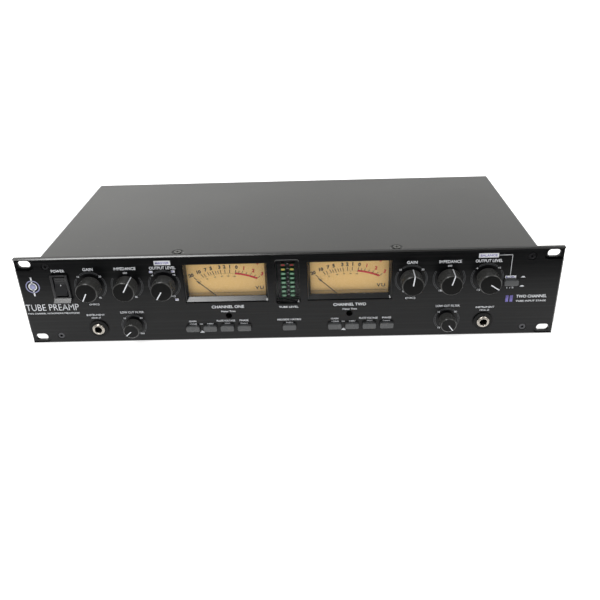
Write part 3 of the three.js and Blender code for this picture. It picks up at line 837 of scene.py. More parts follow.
def makePanel(edge):
    top = panelHigh[2] / mm
    outline = [(-1.0, top - edge - 1.0), (edge + 1.0, top + 1.0), (-1.0, top + 1.0)]
    cutter = profileAlongX(outline, -panelHigh[0] / mm - 2, panelHigh[0] / mm + 2)
    panel = addPiece(
        "panelPlate", carved(nodeBlank("front_panel"), [cutter]), "panel", "chassis",
    )
    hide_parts("front_panel")
    strip = [
        (-0.02, top - edge + 0.02), (edge - 0.02, top + 0.02), (edge + 0.05, top - 0.1),
        (0.1, top - edge - 0.05),
    ]
    right = panelHigh[0] / mm - 0.1
    solidPiece("panelEdge", [profileAlongX(strip, -right, right)], "edge", "chassis")


makeCover(coverSpec)
makePanel(0.9)
dress("chassis_tray", "cover")
for node in frame["nodes"]:
    if node.startswith("panel_screw"):
        dress(node, "blackScrew")
    elif node.startswith("cover_screw"):
        dress(node, "screw")
    elif "_pot_" in node:
        dress(node, "potMetal")
print("shell done")

# knobs
knobSpec = {
    "large": {"face": 9.55, "skirt": 10.0, "tall": 13.5, "cavity": 7.2, "shaft": 3.0, "lineWide": 0.95},
    "small": {"face": 7.1, "skirt": 7.5, "tall": 11.0, "cavity": 5.4, "shaft": 2.0, "lineWide": 0.85},
    "shaftEnd": 14.5,
    "seat": -0.5,
    "edge": 0.7,
}
restTurn = {
    "gain_knob_1": -152,
    "impedance_knob_1": 30,
    "output_knob_1": -148,
    "low_cut_knob_1": -132,
    "gain_knob_2": 7,
    "impedance_knob_2": 15,
    "output_knob_2": 124,
    "low_cut_knob_2": 144,
}


def knobProfile(size):
    face, skirt, tall, edge = size["face"], size["skirt"], size["tall"], knobSpec["edge"]
    seat = knobSpec["seat"]
    profile = [(0, knobSpec["shaftEnd"]), (size["shaft"], knobSpec["shaftEnd"]), (size["shaft"], -4.0)]
    profile += [
        (size["cavity"], -4.0), (size["cavity"], seat), (skirt - 0.25, seat),
        (skirt, seat - 0.25),
    ]
    profile += [
        (face, -tall + edge), (face - edge, -tall), (face - 1.5, -tall),
        (face - 1.75, -tall + 0.12), (0, -tall + 0.12),
    ]
    return profile


def makeKnob(body, turn):
    size = knobSpec["small" if body.startswith("low") else "large"]
    x, _, z = pivotOf(body)
    name = body.replace("_", "")
    piece = solidPiece(
        name + "Cap", [lathe((x, 0, z), knobProfile(size), 96)], "knob", body, 25,
    )
    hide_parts(body)
    half = size["lineWide"] / 2
    tall, face, skirt = size["tall"], size["face"], size["skirt"]
    edge = knobSpec["edge"]
    disc = [
        (0, -tall - 0.02), (face - edge - 0.05, -tall - 0.02), (face - edge - 0.05, -tall + 0.2),
        (0, -tall + 0.2),
    ]
    # the front disc takes the darker colour of the knob's plastic: painted shade on the face
    solidPiece(name + "Face", [lathe((x, 0, z), disc, 64)], "knobFace", body)
    front = block(x - half, x + half, -tall - 0.06, -tall + 0.3, z + 0.4, z + face - edge)
    outline = [(-tall - 0.06, z + face - edge), (-tall + edge - 0.03, z + face + 0.07)]
    outline += [(knobSpec["seat"] - 0.3, z + skirt + 0.06), (knobSpec["seat"] - 0.3, z + skirt - 0.4)]
    outline += [(-tall + edge + 0.3, z + face - edge - 0.4), (-tall + 0.2, z + face - edge - 0.4)]
    flank = profileAlongX(outline, x - half, x + half)
    marks = [spun(part, turn, (x, z)) for part in (front, flank)]
    solidPiece(name + "CapLine", marks, "white", body, 40)


for body, turn in restTurn.items():
    makeKnob(body, turn)
print("knobs done")

# push buttons
buttonSpec = {
    "width": 12.4, "height": 6.0, "corner": 1.6, "front": -3.1, "back": 7.0, "stem": 1.7,
    "stemEnd": 14.0,
}


def makeButton(body, spec):
    x, _, z = centreOf(body)
    outline = roundedOutline(x, z, spec["width"], spec["height"], spec["corner"], 6)
    cap = outlinePrism(outline, spec["front"], spec["back"])
    half = spec["stem"]
    stem = block(x - half, x + half, spec["back"] - 0.01, spec["stemEnd"], z - half, z + half)
    piece = solidPiece(body.replace("_", "") + "Cap", [cap, stem], "key", body)
    rounded(piece, 0.7, 3, 50)
    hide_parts(body)


for body in frame["bodies"]:
    if body.endswith(("button", "button_1", "button_2")):
        makeButton(body, buttonSpec)
print("buttons done")

# mains rocker
rockerSpec = {
    "halfX": 5.5,
    "endZ": 8.5,
    "proud": 2.6,
    "dish": 1.7,
    "tilt": -12.0,
    "ridges": (3.2, 5.7),
    "mark": (0.2, 1.6),  # from and to, up the key from its middle
    "bezelX": 7.75,
    "bezelZ": 12.5,
    "bodyX": 6.6,
    "bodyZ": 11.7,
    "wellX": 5.8,
    "wellZ": 11.0,
    "foot": 10.7,  # how far under the middle the frame ends
    "ledge": (3.2, 3.1),  # drop and depth of the sloping lip under the key
}


def tilted(outline, degrees, pivotY):
    a = math.radians(degrees)
    turnedPoints = []
    for y, z in outline:
        dy = y - pivotY
        turnedPoints.append(
            (pivotY + dy * math.cos(a) - z * math.sin(a), dy * math.sin(a) + z * math.cos(a))
        )
    return turnedPoints


def dishDepth(share, spec):
    # y of the dished face at this share of the way from the middle to an end
    return -spec["proud"] + spec["dish"] * math.cos(share * math.pi / 2) ** 1.2


def makeRocker(spec):
    x, pivotY, z = pivotOf("rocker_key")
    faceLine = [(dishDepth(t, spec), -t * spec["endZ"]) for t in (-1 + 2 * k / 12 for k in range(13))]
    outline = [(pivotY + 5, -3), (pivotY + 5, 3), (pivotY + 1, 8.0)] + faceLine + [(pivotY + 1, -8.0)]
    half = spec["halfX"]
    shape = [(y, z + dz) for y, dz in tilted(outline, spec["tilt"], pivotY)]
    parts = [profileAlongX(shape, x - half, x + half)]
    for height in spec["ridges"]:
        depth = dishDepth(height / spec["endZ"], spec)
        ridge = [
            (depth - 0.55, height + 0.45), (depth - 0.55, height - 0.45),
            (depth + 0.5, height - 0.7), (depth + 0.5, height + 0.7),
        ]
        raised = [(y, z + dz) for y, dz in tilted(ridge, spec["tilt"], pivotY)]
        parts.append(profileAlongX(raised, x - half + 1.6, x + half - 1.6))
    low, high = spec["mark"]
    depth = dishDepth((low + high) / 2 / spec["endZ"], spec)
    dash = [(depth - 0.05, low), (depth - 0.05, high), (depth + 0.3, high), (depth + 0.3, low)]
    dash = [(y, z + dz) for y, dz in tilted(dash, spec["tilt"], pivotY)]
    solidPiece(
        "rockerMark", [profileAlongX(dash, x - 0.3, x + 0.3)], "white", "rocker_key",
    )
    key = solidPiece("rockerKeyCap", parts, "rocker", "rocker_key", 30)
    rounded(key, 0.35, 3, 45)
    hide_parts("rocker_key")
    bx, bz = spec["bezelX"], spec["bezelZ"]
    well = block(x - spec["wellX"], x + spec["wellX"], -4, 14, z - spec["wellZ"], z + spec["wellZ"])
    drop, depth = spec["ledge"]
    foot = z - spec["foot"]
    tall = bz + spec["foot"]
    mouth = block(x - spec["wellX"], x + spec["wellX"], -4, 4, foot + 1.0, z + spec["wellZ"])
    flange = carved(
        outlinePrism(roundedOutline(x, foot + tall / 2, 2 * bx, tall, 1.0, 4), -2.2, -0.3),
        [mouth],
    )
    bezel = addPiece("rockerBezel", flange, "rocker", "chassis")
    rounded(bezel, 0.3, 3, 50)
    lip = [
        (-0.3, foot - 0.02), (-2.2, foot - 0.02), (-2.2 - depth, foot - drop),
        (-1.8 - depth, foot - drop - 0.4), (-0.3, foot - drop - 0.4),
    ]
    ledge = solidPiece(
        "rockerLedge",
        [profileAlongX(lip, x - bx + 0.1, x + bx - 0.1)],
        "bezel",
        "chassis",
    )
    shell = block(x - spec["bodyX"], x + spec["bodyX"], -0.3, 22, z - spec["bodyZ"], z + spec["bodyZ"])
    body = addPiece("rockerBody", carved(shell, [well]), "caseBlack", "chassis")
    tabs = [
        block(x + dx - 2.4, x + dx + 2.4, 22, 29, z + dz - 0.4, z + dz + 0.4)
        for dx, dz in ((0, 7), (0, 0), (0, -7))
    ]
    solidPiece("rockerTabs", tabs, "potMetal", "chassis")
    for piece in (bezel, ledge, body):
        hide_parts("rocker_housing")


makeRocker(rockerSpec)
print("rocker done")

# meters
meterSpec = {
    "middle": 55.2,
    "half": 37.3,
    "low": 40.5,
    "high": 78.95,
    "mouth": 1.2,
    "pane": 4.6,
    "paneBack": 6.2,
    "back": 9.6,
    "rim": 0.4,
    "slope": (2.4, 3.6, 1.8),  # side, bottom, top
    "wall": 1.6,
    "dialY": 10.9,
    "pivotZ": 31.0,
    "needleLong": 38.6,
    "needleRest": -46.5,
    "arcR": 65.0,
    "arcTop": 64.3,
    "figureOut": 6.7,  # beyond the scale arc
    "shareOut": -2.9,
    "lean": 0.35,  # share of the ray's angle that a figure turns by
}
scaleMarks = [
    ("20", -45.5), ("10", -35.5), ("7", -26.7), ("5", -19.8), ("3", -8.7), ("2", -2.3),
    ("1", 4.7), ("0", 13.3),
]
overMarks = [("1", 22.6), ("2", 34.3), ("3", 45.0)]
fineTicks = [-32.0, -23.5, -16.0, -12.5, 18.0, 28.5, 40.0]
shares = [("0", -44.0), ("20", -33.0), ("40", -20.0), ("60", -8.5), ("80", 2.5), ("100", 13.0)]


def makeMeterFrame(name, middle, spec):
    x0, x1 = middle - spec["half"], middle + spec["half"]
    z0, z1 = spec["low"], spec["high"]
    side, bottom, top = spec["slope"]
    rim, wall = spec["rim"], spec["wall"]
    rings = [
        (x0, x1, z0, z1, spec["back"]),
        (x0, x1, z0, z1, spec["mouth"]),
        (x0 + rim, x1 - rim, z0 + rim, z1 - rim, spec["mouth"]),
        (x0 + side, x1 - side, z0 + bottom, z1 - top, spec["pane"]),
        (x0 + side, x1 - side, z0 + bottom, z1 - top, spec["paneBack"]),
        (x0 + wall, x1 - wall, z0 + wall, z1 - wall, spec["paneBack"]),
        (x0 + wall, x1 - wall, z0 + wall, z1 - wall, spec["back"]),
    ]
    verts, faces = [], []
    for left, right, low, high, y in rings:
        verts += [(left, y, low), (right, y, low), (right, y, high), (left, y, high)]
    for k in range(len(rings)):
        a, b = 4 * k, 4 * ((k + 1) % len(rings))
        faces += [(a + i, a + (i + 1) % 4, b + (i + 1) % 4, b + i) for i in range(4)]
    return solidPiece(name, [(verts, faces)], "bezel", "chassis", 20)


def scalePoint(angle, spec, out=0.0):
    # where the ray at this angle from the pivot meets the flat scale arc, and out mm further
    a = math.radians(angle)
    centre = spec["arcTop"] - spec["arcR"] - spec["pivotZ"]
    along = math.cos(a) * centre + math.sqrt((math.cos(a) * centre) ** 2 - centre**2 + spec["arcR"] ** 2)
    reach = along + out
    return reach * math.sin(a), spec["pivotZ"] + reach * math.cos(a)


def tick(middle, spec, angle, start, end, wide):
    x0, z0 = scalePoint(angle, spec, start)
    x1, z1 = scalePoint(angle, spec, end)
    a = math.radians(angle)
    dx, dz = math.cos(a) * wide / 2, -math.sin(a) * wide / 2
    y = spec["dialY"]
    return flatStrip(
        [
            (middle + x0 - dx, z0 - dz), (middle + x0 + dx, z0 + dz), (middle + x1 + dx, z1 + dz),
            (middle + x1 - dx, z1 - dz),
        ],
        y,
    )


def scaleArc(middle, spec, first, last, out, thick, steps=28):
    verts = []
    for k in range(steps + 1):
        angle = first + (last - first) * k / steps
        for shift in (out - thick / 2, out + thick / 2):
            x, z = scalePoint(angle, spec, shift)
            verts.append(placed(middle + x, spec["dialY"], z))
    return ribbon(verts)


def makeScale(number, middle, spec):
    y = spec["dialY"]
    dark, red, rust = [], [], []
    for words, angle in scaleMarks:
        x, z = scalePoint(angle, spec, spec["figureOut"])
        dark.append(letterMesh(words, middle + x, z, 3.6, None, y, angle * spec["lean"], 1.0, 0.05))
        rust.append(tick(middle, spec, angle, 0.2, 3.7, 0.62))
    for words, angle in overMarks:
        x, z = scalePoint(angle, spec, spec["figureOut"])
        red.append(letterMesh(words, middle + x, z, 3.7, None, y, angle * spec["lean"], 1.0, 0.05))
        rust.append(tick(middle, spec, angle, 0.5, 3.7, 0.45))
    for angle in fineTicks:
        rust.append(tick(middle, spec, angle, 0.2, 3.2, 0.55))
    for words, angle in shares:
        x, z = scalePoint(angle, spec, spec["shareOut"])
        rust.append(letterMesh(words, middle + x, z, 1.3, None, y, angle * spec["lean"]))
        rust.append(tick(middle, spec, angle, -1.4, -0.4, 0.28))
    rust.append(scaleArc(middle, spec, -45.5, 13.3, -0.1, 0.1))
    red.append(scaleArc(middle, spec, 12.8, 45.2, 0.2, 2.0))
    dark.append(letterMesh("VU", middle + 28.8, 49.0, 3.5, 7.8, y, 0.0, 1.25, 0.03))
    dark.append(letterMesh("-", middle - 27.5, 74.2, 0.6, 2.6, y))
    red.append(letterMesh("+", middle + 28.2, 73.2, 2.4, 2.4, y))
    # a thin dark line painted across the foot of the dial: painted shade at the card's fold
    rust.append(
        flatStrip([(middle - 37, 44.3), (middle + 37, 44.3), (middle + 37, 44.5), (middle - 37, 44.5)], y)
    )
    printPiece(f"meterFigures{number}", dark, "dialInk", "chassis")
    printPiece(f"meterRed{number}", red, "redInk", "chassis")
    printPiece(f"meterTicks{number}", rust, "rustInk", "chassis")


def makeNeedle(number, middle, spec):
    body = f"meter_needle_{number}"
    _, y, z = pivotOf(body)
    long = spec["needleLong"]
    outline = [
        (middle - 0.34, z), (middle - 0.24, z + 34), (middle - 0.8, z + 35.2),
        (middle - 0.15, z + long),
    ]
    outline += [
        (middle + 0.15, z + long), (middle + 0.8, z + 35.2), (middle + 0.24, z + 34),
        (middle + 0.34, z),
    ]
    tail = [(middle - 0.5, z), (middle + 0.5, z), (middle + 0.35, z - 0.9), (middle - 0.35, z - 0.9)]
    arm = spun(outlinePrism(outline, y, y + 0.3), spec["needleRest"], (middle, z))
    weight = spun(outlinePrism(tail, y, y + 0.3), spec["needleRest"], (middle, z))
    hub = lathe(
        (middle, 0, z),
        [
            (0, y - 0.3), (1.1, y - 0.3), (1.2, y - 0.2), (1.2, y + 0.4), (0.6, y + 0.4),
            (0.6, y + 11.5), (0, y + 11.5),
        ],
        24,
    )
    piece = solidPiece(f"needle{number}", [arm, weight, hub], "pointer", body)
    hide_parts(body)


def makeMeter(number, middle, spec):
    window = makeMeterFrame(f"meterFrame{number}", middle, spec)
    side, bottom, top = spec["slope"]
    pane = block(
        middle - spec["half"] + side + 0.02,
        middle + spec["half"] - side - 0.02,
        spec["pane"] + 0.1,
        spec["paneBack"] - 0.1,
        spec["low"] + bottom + 0.02,
        spec["high"] - top - 0.02,
    )
    glass = solidPiece(f"meterPane{number}", [pane], "window", "chassis")
    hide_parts(f"meter_window_{number}")
    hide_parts(f"meter_window_{number}")
    dress(f"meter_case_{number}", "caseBlack")
    dress(f"meter_dial_{number}", "card")
    makeScale(number, middle, spec)
    makeNeedle(number, middle, spec)
    dress(f"trim_rotor_{number}", "ceramic")


def cornerFacet(name, corner, facing, tall, wide):
    # a little polished bevel across the lower right corner of a moulding
    out = Vector(facing).normalized()
    across = (Vector((1, 0, 0)) - out * out.x).normalized()
    up = across.cross(out) if across.cross(out).z > 0 else out.cross(across)
    foot = Vector(corner)
    front = [foot, foot + up * tall - across * wide * 0.35, foot - across * wide]
    verts = [tuple(p) for p in front] + [tuple(p - out * 0.5) for p in front]
    faces = [(0, 1, 2), (5, 4, 3), (0, 3, 4, 1), (1, 4, 5, 2), (2, 5, 3, 0)]
    return solidPiece(name, [(verts, faces)], "bezel", "chassis")


makeMeter(1, -meterSpec["middle"], meterSpec)
cornerFacet("meterCorner1", (-18.4, 0.9, 41.0), (-0.13, -0.70, 0.71), 4.4, 1.9)
cornerFacet("meterCorner2", (92.0, 0.9, 41.0), (-0.25, -0.69, 0.69), 4.4, 1.9)
makeMeter(2, meterSpec["middle"], meterSpec)
print("meters done")

# column of level lights
lightSpec = {
    "x": 3.9, "low": 42.35, "pitch": 4.46, "wide": 3.3, "high": 1.75, "front": 6.5, "back": 8.9,
    "mask": (9.6, 38.8, 77.6),
}
lightRows = [("greenLight", 0, 6), ("yellowLight", 6, 1), ("redLight", 7, 1)]


def makeLights(spec):
    for side, hand in ((-1, "Left"), (1, "Right")):
        for look, first, count in lightRows:
            z = spec["low"] + first * spec["pitch"]
            x = side * spec["x"]
            outline = roundedOutline(x, z, spec["wide"], spec["high"], 0.7, 4)
            cap = outlinePrism(outline, spec["front"], spec["back"])
            rowOfCopies(
                f"{look}s{hand}", cap, look, count, (0, 0, spec["pitch"]), "chassis",
            )
    figures = []
    for row, words in enumerate(("-20", "-10", "-6", "-3", "0", "+3", "+6", "+9")):
        z = spec["low"] + row * spec["pitch"]
        figures.append(
            letterMesh(words, 0, z, 1.1, 1.9 if len(words) > 1 else None, spec["back"], 0.0, 1.0, 0.03)
        )
    printPiece("lightFigures", figures, "white", "chassis")
    half, low, high = spec["mask"]
    mask = block(-half, half, spec["back"], spec["back"] + 0.08, low, high)
    solidPiece("lightMask", [mask], "caseBlack", "chassis")


def makeLightWindow():
    low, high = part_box("led_window")
    x = high[0] / mm
    z0, z1 = low[2] / mm, high[2] / mm
    outline = roundedOutline(0, (z0 + z1) / 2, 2 * x, z1 - z0, 2.4, 8)
    y0, y1 = (low[1] - frontY) / mm, (high[1] - frontY) / mm
    lens = solidPiece("lightWindow", [outlinePrism(outline, y0, y1)], "smoke", "chassis")
    rounded(lens, 0.45, 3, 50)
    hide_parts("led_window")
    # a grey strip painted along the lens's top front edge and its upper corners: a painted highlight, not a
    # part of the lens
    edge = flatStrip(
        [(-x + 2.0, z1 - 0.5), (x - 2.0, z1 - 0.5), (x - 2.0, z1 - 0.1), (-x + 2.0, z1 - 0.1)],
        y0,
    )
    corners = [
        arcStrip(s * (x - 2.0), z1 - 2.1, 1.8, 0.4, min(0, s * 90), max(0, s * 90), y0, 10)
        for s in (-1, 1)
    ]
    printPiece("lightWindowEdge", [edge] + corners, "wornEdge", "chassis")
    cornerFacet(
        "lightWindowCorner", (x - 0.8, y0 - 0.1, z0 + 0.9), (-0.16, -0.70, 0.70), 2.8, 1.7,
    )


makeLights(lightSpec)
makeLightWindow()
print("level lights done")

# instrument jacks
jackSpec = {
    "z": 15.3, "boreR": 3.3, "bushR": 4.7, "ringR": 5.6, "washerR": 9.0, "bodyHalf": 7.4,
    "bodyBack": 32.0,
}


def makeJack(number, spec):
    x, z = centreOf(f"instrument_jack_{number}")[0], spec["z"]
    washer = [
        (spec["bushR"], -0.3), (spec["washerR"], -0.3), (spec["washerR"], -1.1),
        (spec["washerR"] - 0.4, -1.5), (spec["bushR"], -1.5), (spec["bushR"], -0.3),
    ]
    ring = solidPiece(
        f"jackWasher{number}", [lathe((x, 0, z), washer, 72)], "blackRing", "chassis",
        35,
    )
    nut = [
        (spec["boreR"], 30.0), (spec["bushR"], 30.0), (spec["bushR"], -1.5),
        (spec["ringR"], -1.5), (spec["ringR"], -2.1),
    ]
    nut += [
        (spec["ringR"] - 0.45, -2.55), (spec["bushR"] + 0.1, -2.6), (spec["bushR"], -2.7),
        (spec["bushR"] - 0.2, -3.05),
    ]
    nut += [
        (spec["bushR"] - 0.55, -3.2), (spec["boreR"] + 0.35, -3.15), (spec["boreR"], -2.8),
        (spec["boreR"], 30.0),
    ]
    sleeve = solidPiece(
        f"jackNut{number}", [lathe((x, 0, z), nut, 72)], "nickel", "chassis", 30,
    )
    half = spec["bodyHalf"]
    hole = rod(x, z, spec["bushR"] + 0.1, 5, 30.5, 32)
    shell = carved(block(x - half, x + half, 6.3, spec["bodyBack"], z - half, z + half), [hole])
    body = addPiece(f"jackBody{number}", shell, "insert", "chassis")
    rounded(body, 0.5, 2, 50)
    for piece in (ring, sleeve, body):
        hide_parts(f"instrument_jack_{number}")


makeJack(1, jackSpec)
makeJack(2, jackSpec)
print("jacks done")

# rear sockets
xlrSpec = {
    "flangeX": 26.0, "flangeZ": 31.0, "thick": 2.4, "bodyR": 11.4, "cupR": 9.2, "z": 44.0,
    "pinCircle": 4.0, "screwX": 9.5, "screwZ": 12,
}
wall = (rearY - frontY) / mm  # y of the rear wall's outside


def makeXlr(node, spec):
    name = node.replace("_", "")
    x, z = centreOf(node)[0], spec["z"]
    mouth = wall + 0.3 + spec["thick"]
    screwSpots = [(x + s * spec["screwX"], z + s * spec["screwZ"]) for s in (-1, 1)]
    holes = [rod(sx, sz, 1.6, wall - 1, mouth + 1, 24) for sx, sz in screwSpots]
    ports = node.startswith("xlr_output")
    depth = mouth - 14 if ports else mouth - 9
    holes.append(rod(x, z, spec["cupR"], depth, mouth + 1, 64))
    outline = roundedOutline(x, z, spec["flangeX"], spec["flangeZ"], 3.0, 6)
    plate = carved(outlinePrism(outline, wall + 0.3, mouth), holes)
    flange = addPiece(name + "Flange", plate, "socketShell", "chassis")
    rounded(flange, 0.4, 2, 50)
    barrel = [
        (0, wall - 18.6), (spec["bodyR"], wall - 18.6), (spec["bodyR"], wall + 0.3),
        (spec["cupR"], wall + 0.3),
    ]
    barrel += [(spec["cupR"], depth), (0, depth)]
    shell = lathe((x, 0, z), barrel, 48)
    body = solidPiece(name + "Barrel", [shell], "socketShell", "chassis")
    r = spec["pinCircle"]
    angles = [math.radians(d) for d in (210, 330, 90)]
    spots = [(x + r * math.cos(a), z + r * math.sin(a)) for a in angles]
    if ports:
        tip = mouth - 4.8
        pin = [(0, depth), (1.2, depth), (1.2, tip - 1), (0.8, tip - 0.2), (0, tip)]
        pins = [lathe((px, 0, pz), pin, 20) for px, pz in spots]
        extras = [solidPiece(name + "Pins", pins, "gold", "chassis", 40)]
    else:
        plug = spec["cupR"] - 1.5
        core = [(0, depth), (plug, depth), (plug, mouth - 0.5), (plug - 0.5, mouth), (0, mouth)]
        bores = [rod(px, pz, 1.4, mouth - 8, mouth + 1, 20) for px, pz in spots]
        deep, shallow = mouth - 7.9, mouth - 1
        cup = [(0.9, deep), (1.35, deep), (1.35, shallow), (0.9, shallow), (0.9, deep)]
        cups = [lathe((px, 0, pz), cup, 20) for px, pz in spots]
        insert = carved(lathe((x, 0, z), core, 64), bores)
        face = addPiece(name + "Face", insert, "insert", "chassis")
        tab = block(x - 3.2, x + 3.2, mouth - 1, mouth + 1.1, z + 10.2, z + 14.2)
        latch = solidPiece(name + "Latch", [tab], "potMetal", "chassis")
        rounded(latch, 0.4, 3)
        extras = [face, solidPiece(name + "Contacts", cups, "gold", "chassis", 40)]
    head = [(0, wall), (1.5, wall), (1.5, wall + 1.4), (2.7, mouth + 0.1), (2.7, mouth + 0.25)]
    head += [(2.0, mouth + 0.75), (0, mouth + 0.85)]
    screws = []
    for sx, sz in screwSpots:
        slots = crossSlot(sx, sz, mouth + 0.2, mouth + 2, 1.5, 0.25)
        screws.append(carved(lathe((sx, 0, sz), head, 28), slots))
    addPiece(name + "Screws", joinedMesh("screws", screws), "blackScrew", "chassis")
    for piece in [flange, body] + extras:
        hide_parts(node)


for node in ("xlr_input_1", "xlr_output_1", "xlr_input_2", "xlr_output_2"):
    makeXlr(node, xlrSpec)

inletSpec = {
    "x": -178.0, "z": 44.0, "flangeX": 50.0, "flangeZ": 24.0, "thick": 3.6, "bodyX": 14.0,
    "bodyZ": 10.0, "front": 166.0, "screwX": 20,
}


def makeInlet(spec):
    x, z = spec["x"], spec["z"]
    mouth = wall + 0.3 + spec["thick"]
    recess = roundedOutline(x, z, 24.4, 16.4, 2.2, 4)
    cut = outlinePrism(recess, 176.5, mouth + 1)
    sink = [(0, wall - 1), (1.7, wall - 1), (1.7, mouth - 1.6), (3.2, mouth + 0.01)]
    sink += [(3.2, mouth + 1), (0, mouth + 1)]
    holes = [lathe((x + s * spec["screwX"], 0, z), sink, 32) for s in (-1, 1)]
    outline = roundedOutline(x, z, spec["flangeX"], spec["flangeZ"], 6, 8)
    flange = carved(outlinePrism(outline, wall + 0.3, mouth), [cut] + holes)
    front = addPiece("inletFlange", flange, "insert", "chassis")
    rounded(front, 0.6, 3, 50)
    shell = block(
        x - spec["bodyX"],
        x + spec["bodyX"],
        spec["front"],
        wall + 0.31,
        z - spec["bodyZ"],
        z + spec["bodyZ"],
    )
    body = addPiece("inletBody", carved(shell, [cut]), "insert", "chassis")
    blades = [
        block(x + dx - 1, x + dx + 1, 172, 189, z + dz - 2, z + dz + 2)
        for dx, dz in ((-7, -1.5), (7, -1.5), (0, 3))
    ]
    metalwork = solidPiece("inletBlades", blades, "nickel", "chassis")
    rounded(metalwork, 0.35, 2)
    head = [(0, wall), (1.5, wall), (1.5, mouth - 1.6), (3.0, mouth - 0.15), (2.4, mouth), (0, mouth)]
    for s, hand in ((-1, "Left"), (1, "Right")):
        sx = x + s * spec["screwX"]
        screw = carved(lathe((sx, 0, z), head, 28), crossSlot(sx, z, mouth - 0.5, mouth + 2, 1.7, 0.28))
        addPiece("inletScrew" + hand, screw, "blackScrew", "chassis")
    for piece in (front, body, metalwork):
        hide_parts("mains_inlet")


makeInlet(inletSpec)
print("rear sockets done")

# case screws, as rows of copies
caseScrew = {"headR": 3.0, "proud": 1.3, "side": 220.0}


def panHead(centre, axis, sign, spec):
    # a low domed head standing out along the axis from the face at centre
    cx, cy, cz = centre
    rows = [
        (0.0, spec["proud"]), (spec["headR"] * 0.55, spec["proud"] * 0.93),
        (spec["headR"] * 0.88, spec["proud"] * 0.6),
    ]
    rows += [(spec["headR"], 0.1), (spec["headR"], 0.0), (0.0, 0.0)]
    verts, faces = lathe((0, 0, 0), rows, 20, "Z")
    if axis == "X":
        verts = [(cx + sign * h, cy + a, cz + b) for a, b, h in verts]
    else:
        verts = [(cx + a, cy + sign * h, cz + b) for a, b, h in verts]
    cross = []
    for u, v in ((1.5, 0.26), (0.26, 1.5)):
        if axis == "X":
            cross.append(block(cx + sign * 0.6, cx + sign * 2.6, cy - u, cy + u, cz - v, cz + v))
        else:
            cross.append(block(cx - u, cx + u, cy + sign * 0.6, cy + sign * 2.6, cz - v, cz + v))
    mesh = carved((verts, faces), cross)
    points = [(v.co.x / mm, (v.co.y - frontY) / mm, v.co.z / mm) for v in mesh.vertices]
    return points, [tuple(p.vertices) for p in mesh.polygons]


for sign, hand in ((-1, "Left"), (1, "Right")):
    head = panHead((sign * caseScrew["side"], 30, 8), "X", sign, caseScrew)
    rowOfCopies(f"sideScrews{hand}", head, "blackScrew", 3, (0, 65, 0), "chassis")
topRow = panHead((-195, wall, 78), "Y", 1, caseScrew)
rowOfCopies("rearScrews", topRow, "blackScrew", 4, (130, 0, 0), "chassis")
print("case screws done")

# inside: tubes and board parts
tubeSpec = {"y": 108.0, "r": 10.8, "low": 17.9, "high": 70.0, "pinR": 6.0}


def makeTube(number, spec):
    node = f"tube_{number}"
    x, y = centreOf(node)[0], spec["y"]
    low, high, r = spec["low"], spec["high"], spec["r"]
    dome = [
        (r * math.cos(a), high - 12 + 8 * math.sin(a))
        for a in (math.radians(d) for d in range(0, 80, 10))
    ]
    outer = [(0, low), (r - 1.5, low), (r, low + 1.5)] + dome + [
        (1.8, high - 3.6), (1.2, high - 1.2), (0, high),
    ]
    envelope = solidPiece(
        f"tubeGlass{number}", [lathe((x, y, 0), outer, 56, "Z")], "glass", "chassis",
        30,
    )
    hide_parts(node)
    plates = []
    for dx in (-3.9, 3.9):
        angles = [math.radians(t) for t in range(0, 360, 30)]
        outline = [(x + dx + 2.9 * math.cos(a), y + 4.6 * math.sin(a)) for a in angles]
        rings = [[(px, py, h) for px, py in outline] for h in (low + 12, low + 36)]
        plates.append(closedBetween(*rings))
    rounded(solidPiece(f"tubePlates{number}", plates, "plate", "chassis"), 0.3, 2)
    discs = [
        lathe((x, y, h), [(0, 0), (8.6, 0), (8.6, 0.5), (0, 0.5)], 24, "Z")
        for h in (low + 10.8, low + 36.7)
    ]
    solidPiece(f"tubeMica{number}", discs, "mica", "chassis")
    stems = []
    for k in range(9):
        a = math.radians(36 * k)
        px, py = x + spec["pinR"] * math.cos(a), y + spec["pinR"] * math.sin(a)
        stems.append(lathe((px, py, low), [(0, -5), (0.5, -5), (0.5, 9), (0, 9)], 8, "Z"))
    solidPiece(f"tubePins{number}", stems, "nickel", "chassis")


makeTube(1, tubeSpec)
makeTube(2, tubeSpec)
dress("main_board", "board")
dress("control_board", "board")
dress("power_transformer", "winding")
sleeve = lathe(
    (-77, 146, 9.7),
    [
        (0, 34.4), (8.6, 34.4), (9.4, 34.2), (10.25, 33.4), (10.25, 1.6), (9.9, 1.2),
        (10.25, 0.8), (10.25, 0), (0, 0),
    ],
    32,
    "Z",
)
rowOfCopies("reservoirSleeves", sleeve, "sleeve", 4, (26, 0, 0), "chassis")
for number, x in ((1, 40), (2, 112)):
    film = block(x - 9.2, x + 9.2, 65.8, 72.2, 9.7, 21.8)
    rounded(
        rowOfCopies(f"filmCapacitors{number}", film, "film", 2, (0, 10, 0), "chassis"),
        0.6,
        2,
    )
    relay = block(x + 19.8, x + 30.2, 119.8, 140.2, 9.7, 19.8)
    rounded(
        rowOfCopies(f"relays{number}", relay, "relay", 2, (16, 0, 0), "chassis"),
        0.5, 2,
    )
print("inside done")

# panel print
dialSpec = {
    "largeArc": 13.7, "smallArc": 10.9, "band": 1.1, "line": 0.24,
    "spans": ((-138, -58), (-34, 34), (58, 138)),
}
knobPlaces = {body: pivotOf(body) for body in restTurn}
knobTitles = {
    "gain": ("GAIN", 9.2), "impedance": ("IMPEDANCE", 19.6), "output": ("OUTPUT LEVEL", 23.4),
    "low": ("LOW CUT FILTER", 21.5),
}
knobFigures = {
    "gain": (("0", -151), ("10", -45), ("30", 46), ("40", 151)),
    "impedance": (("150", -151), ("600", 0), ("3K", 151)),
    "output": (("-12", -151), ("-6", -45), ("+6", 45), ("+12", 151)),
    "low": (("10", -144), ("16", -43), ("80", 44), ("200", 144)),
}


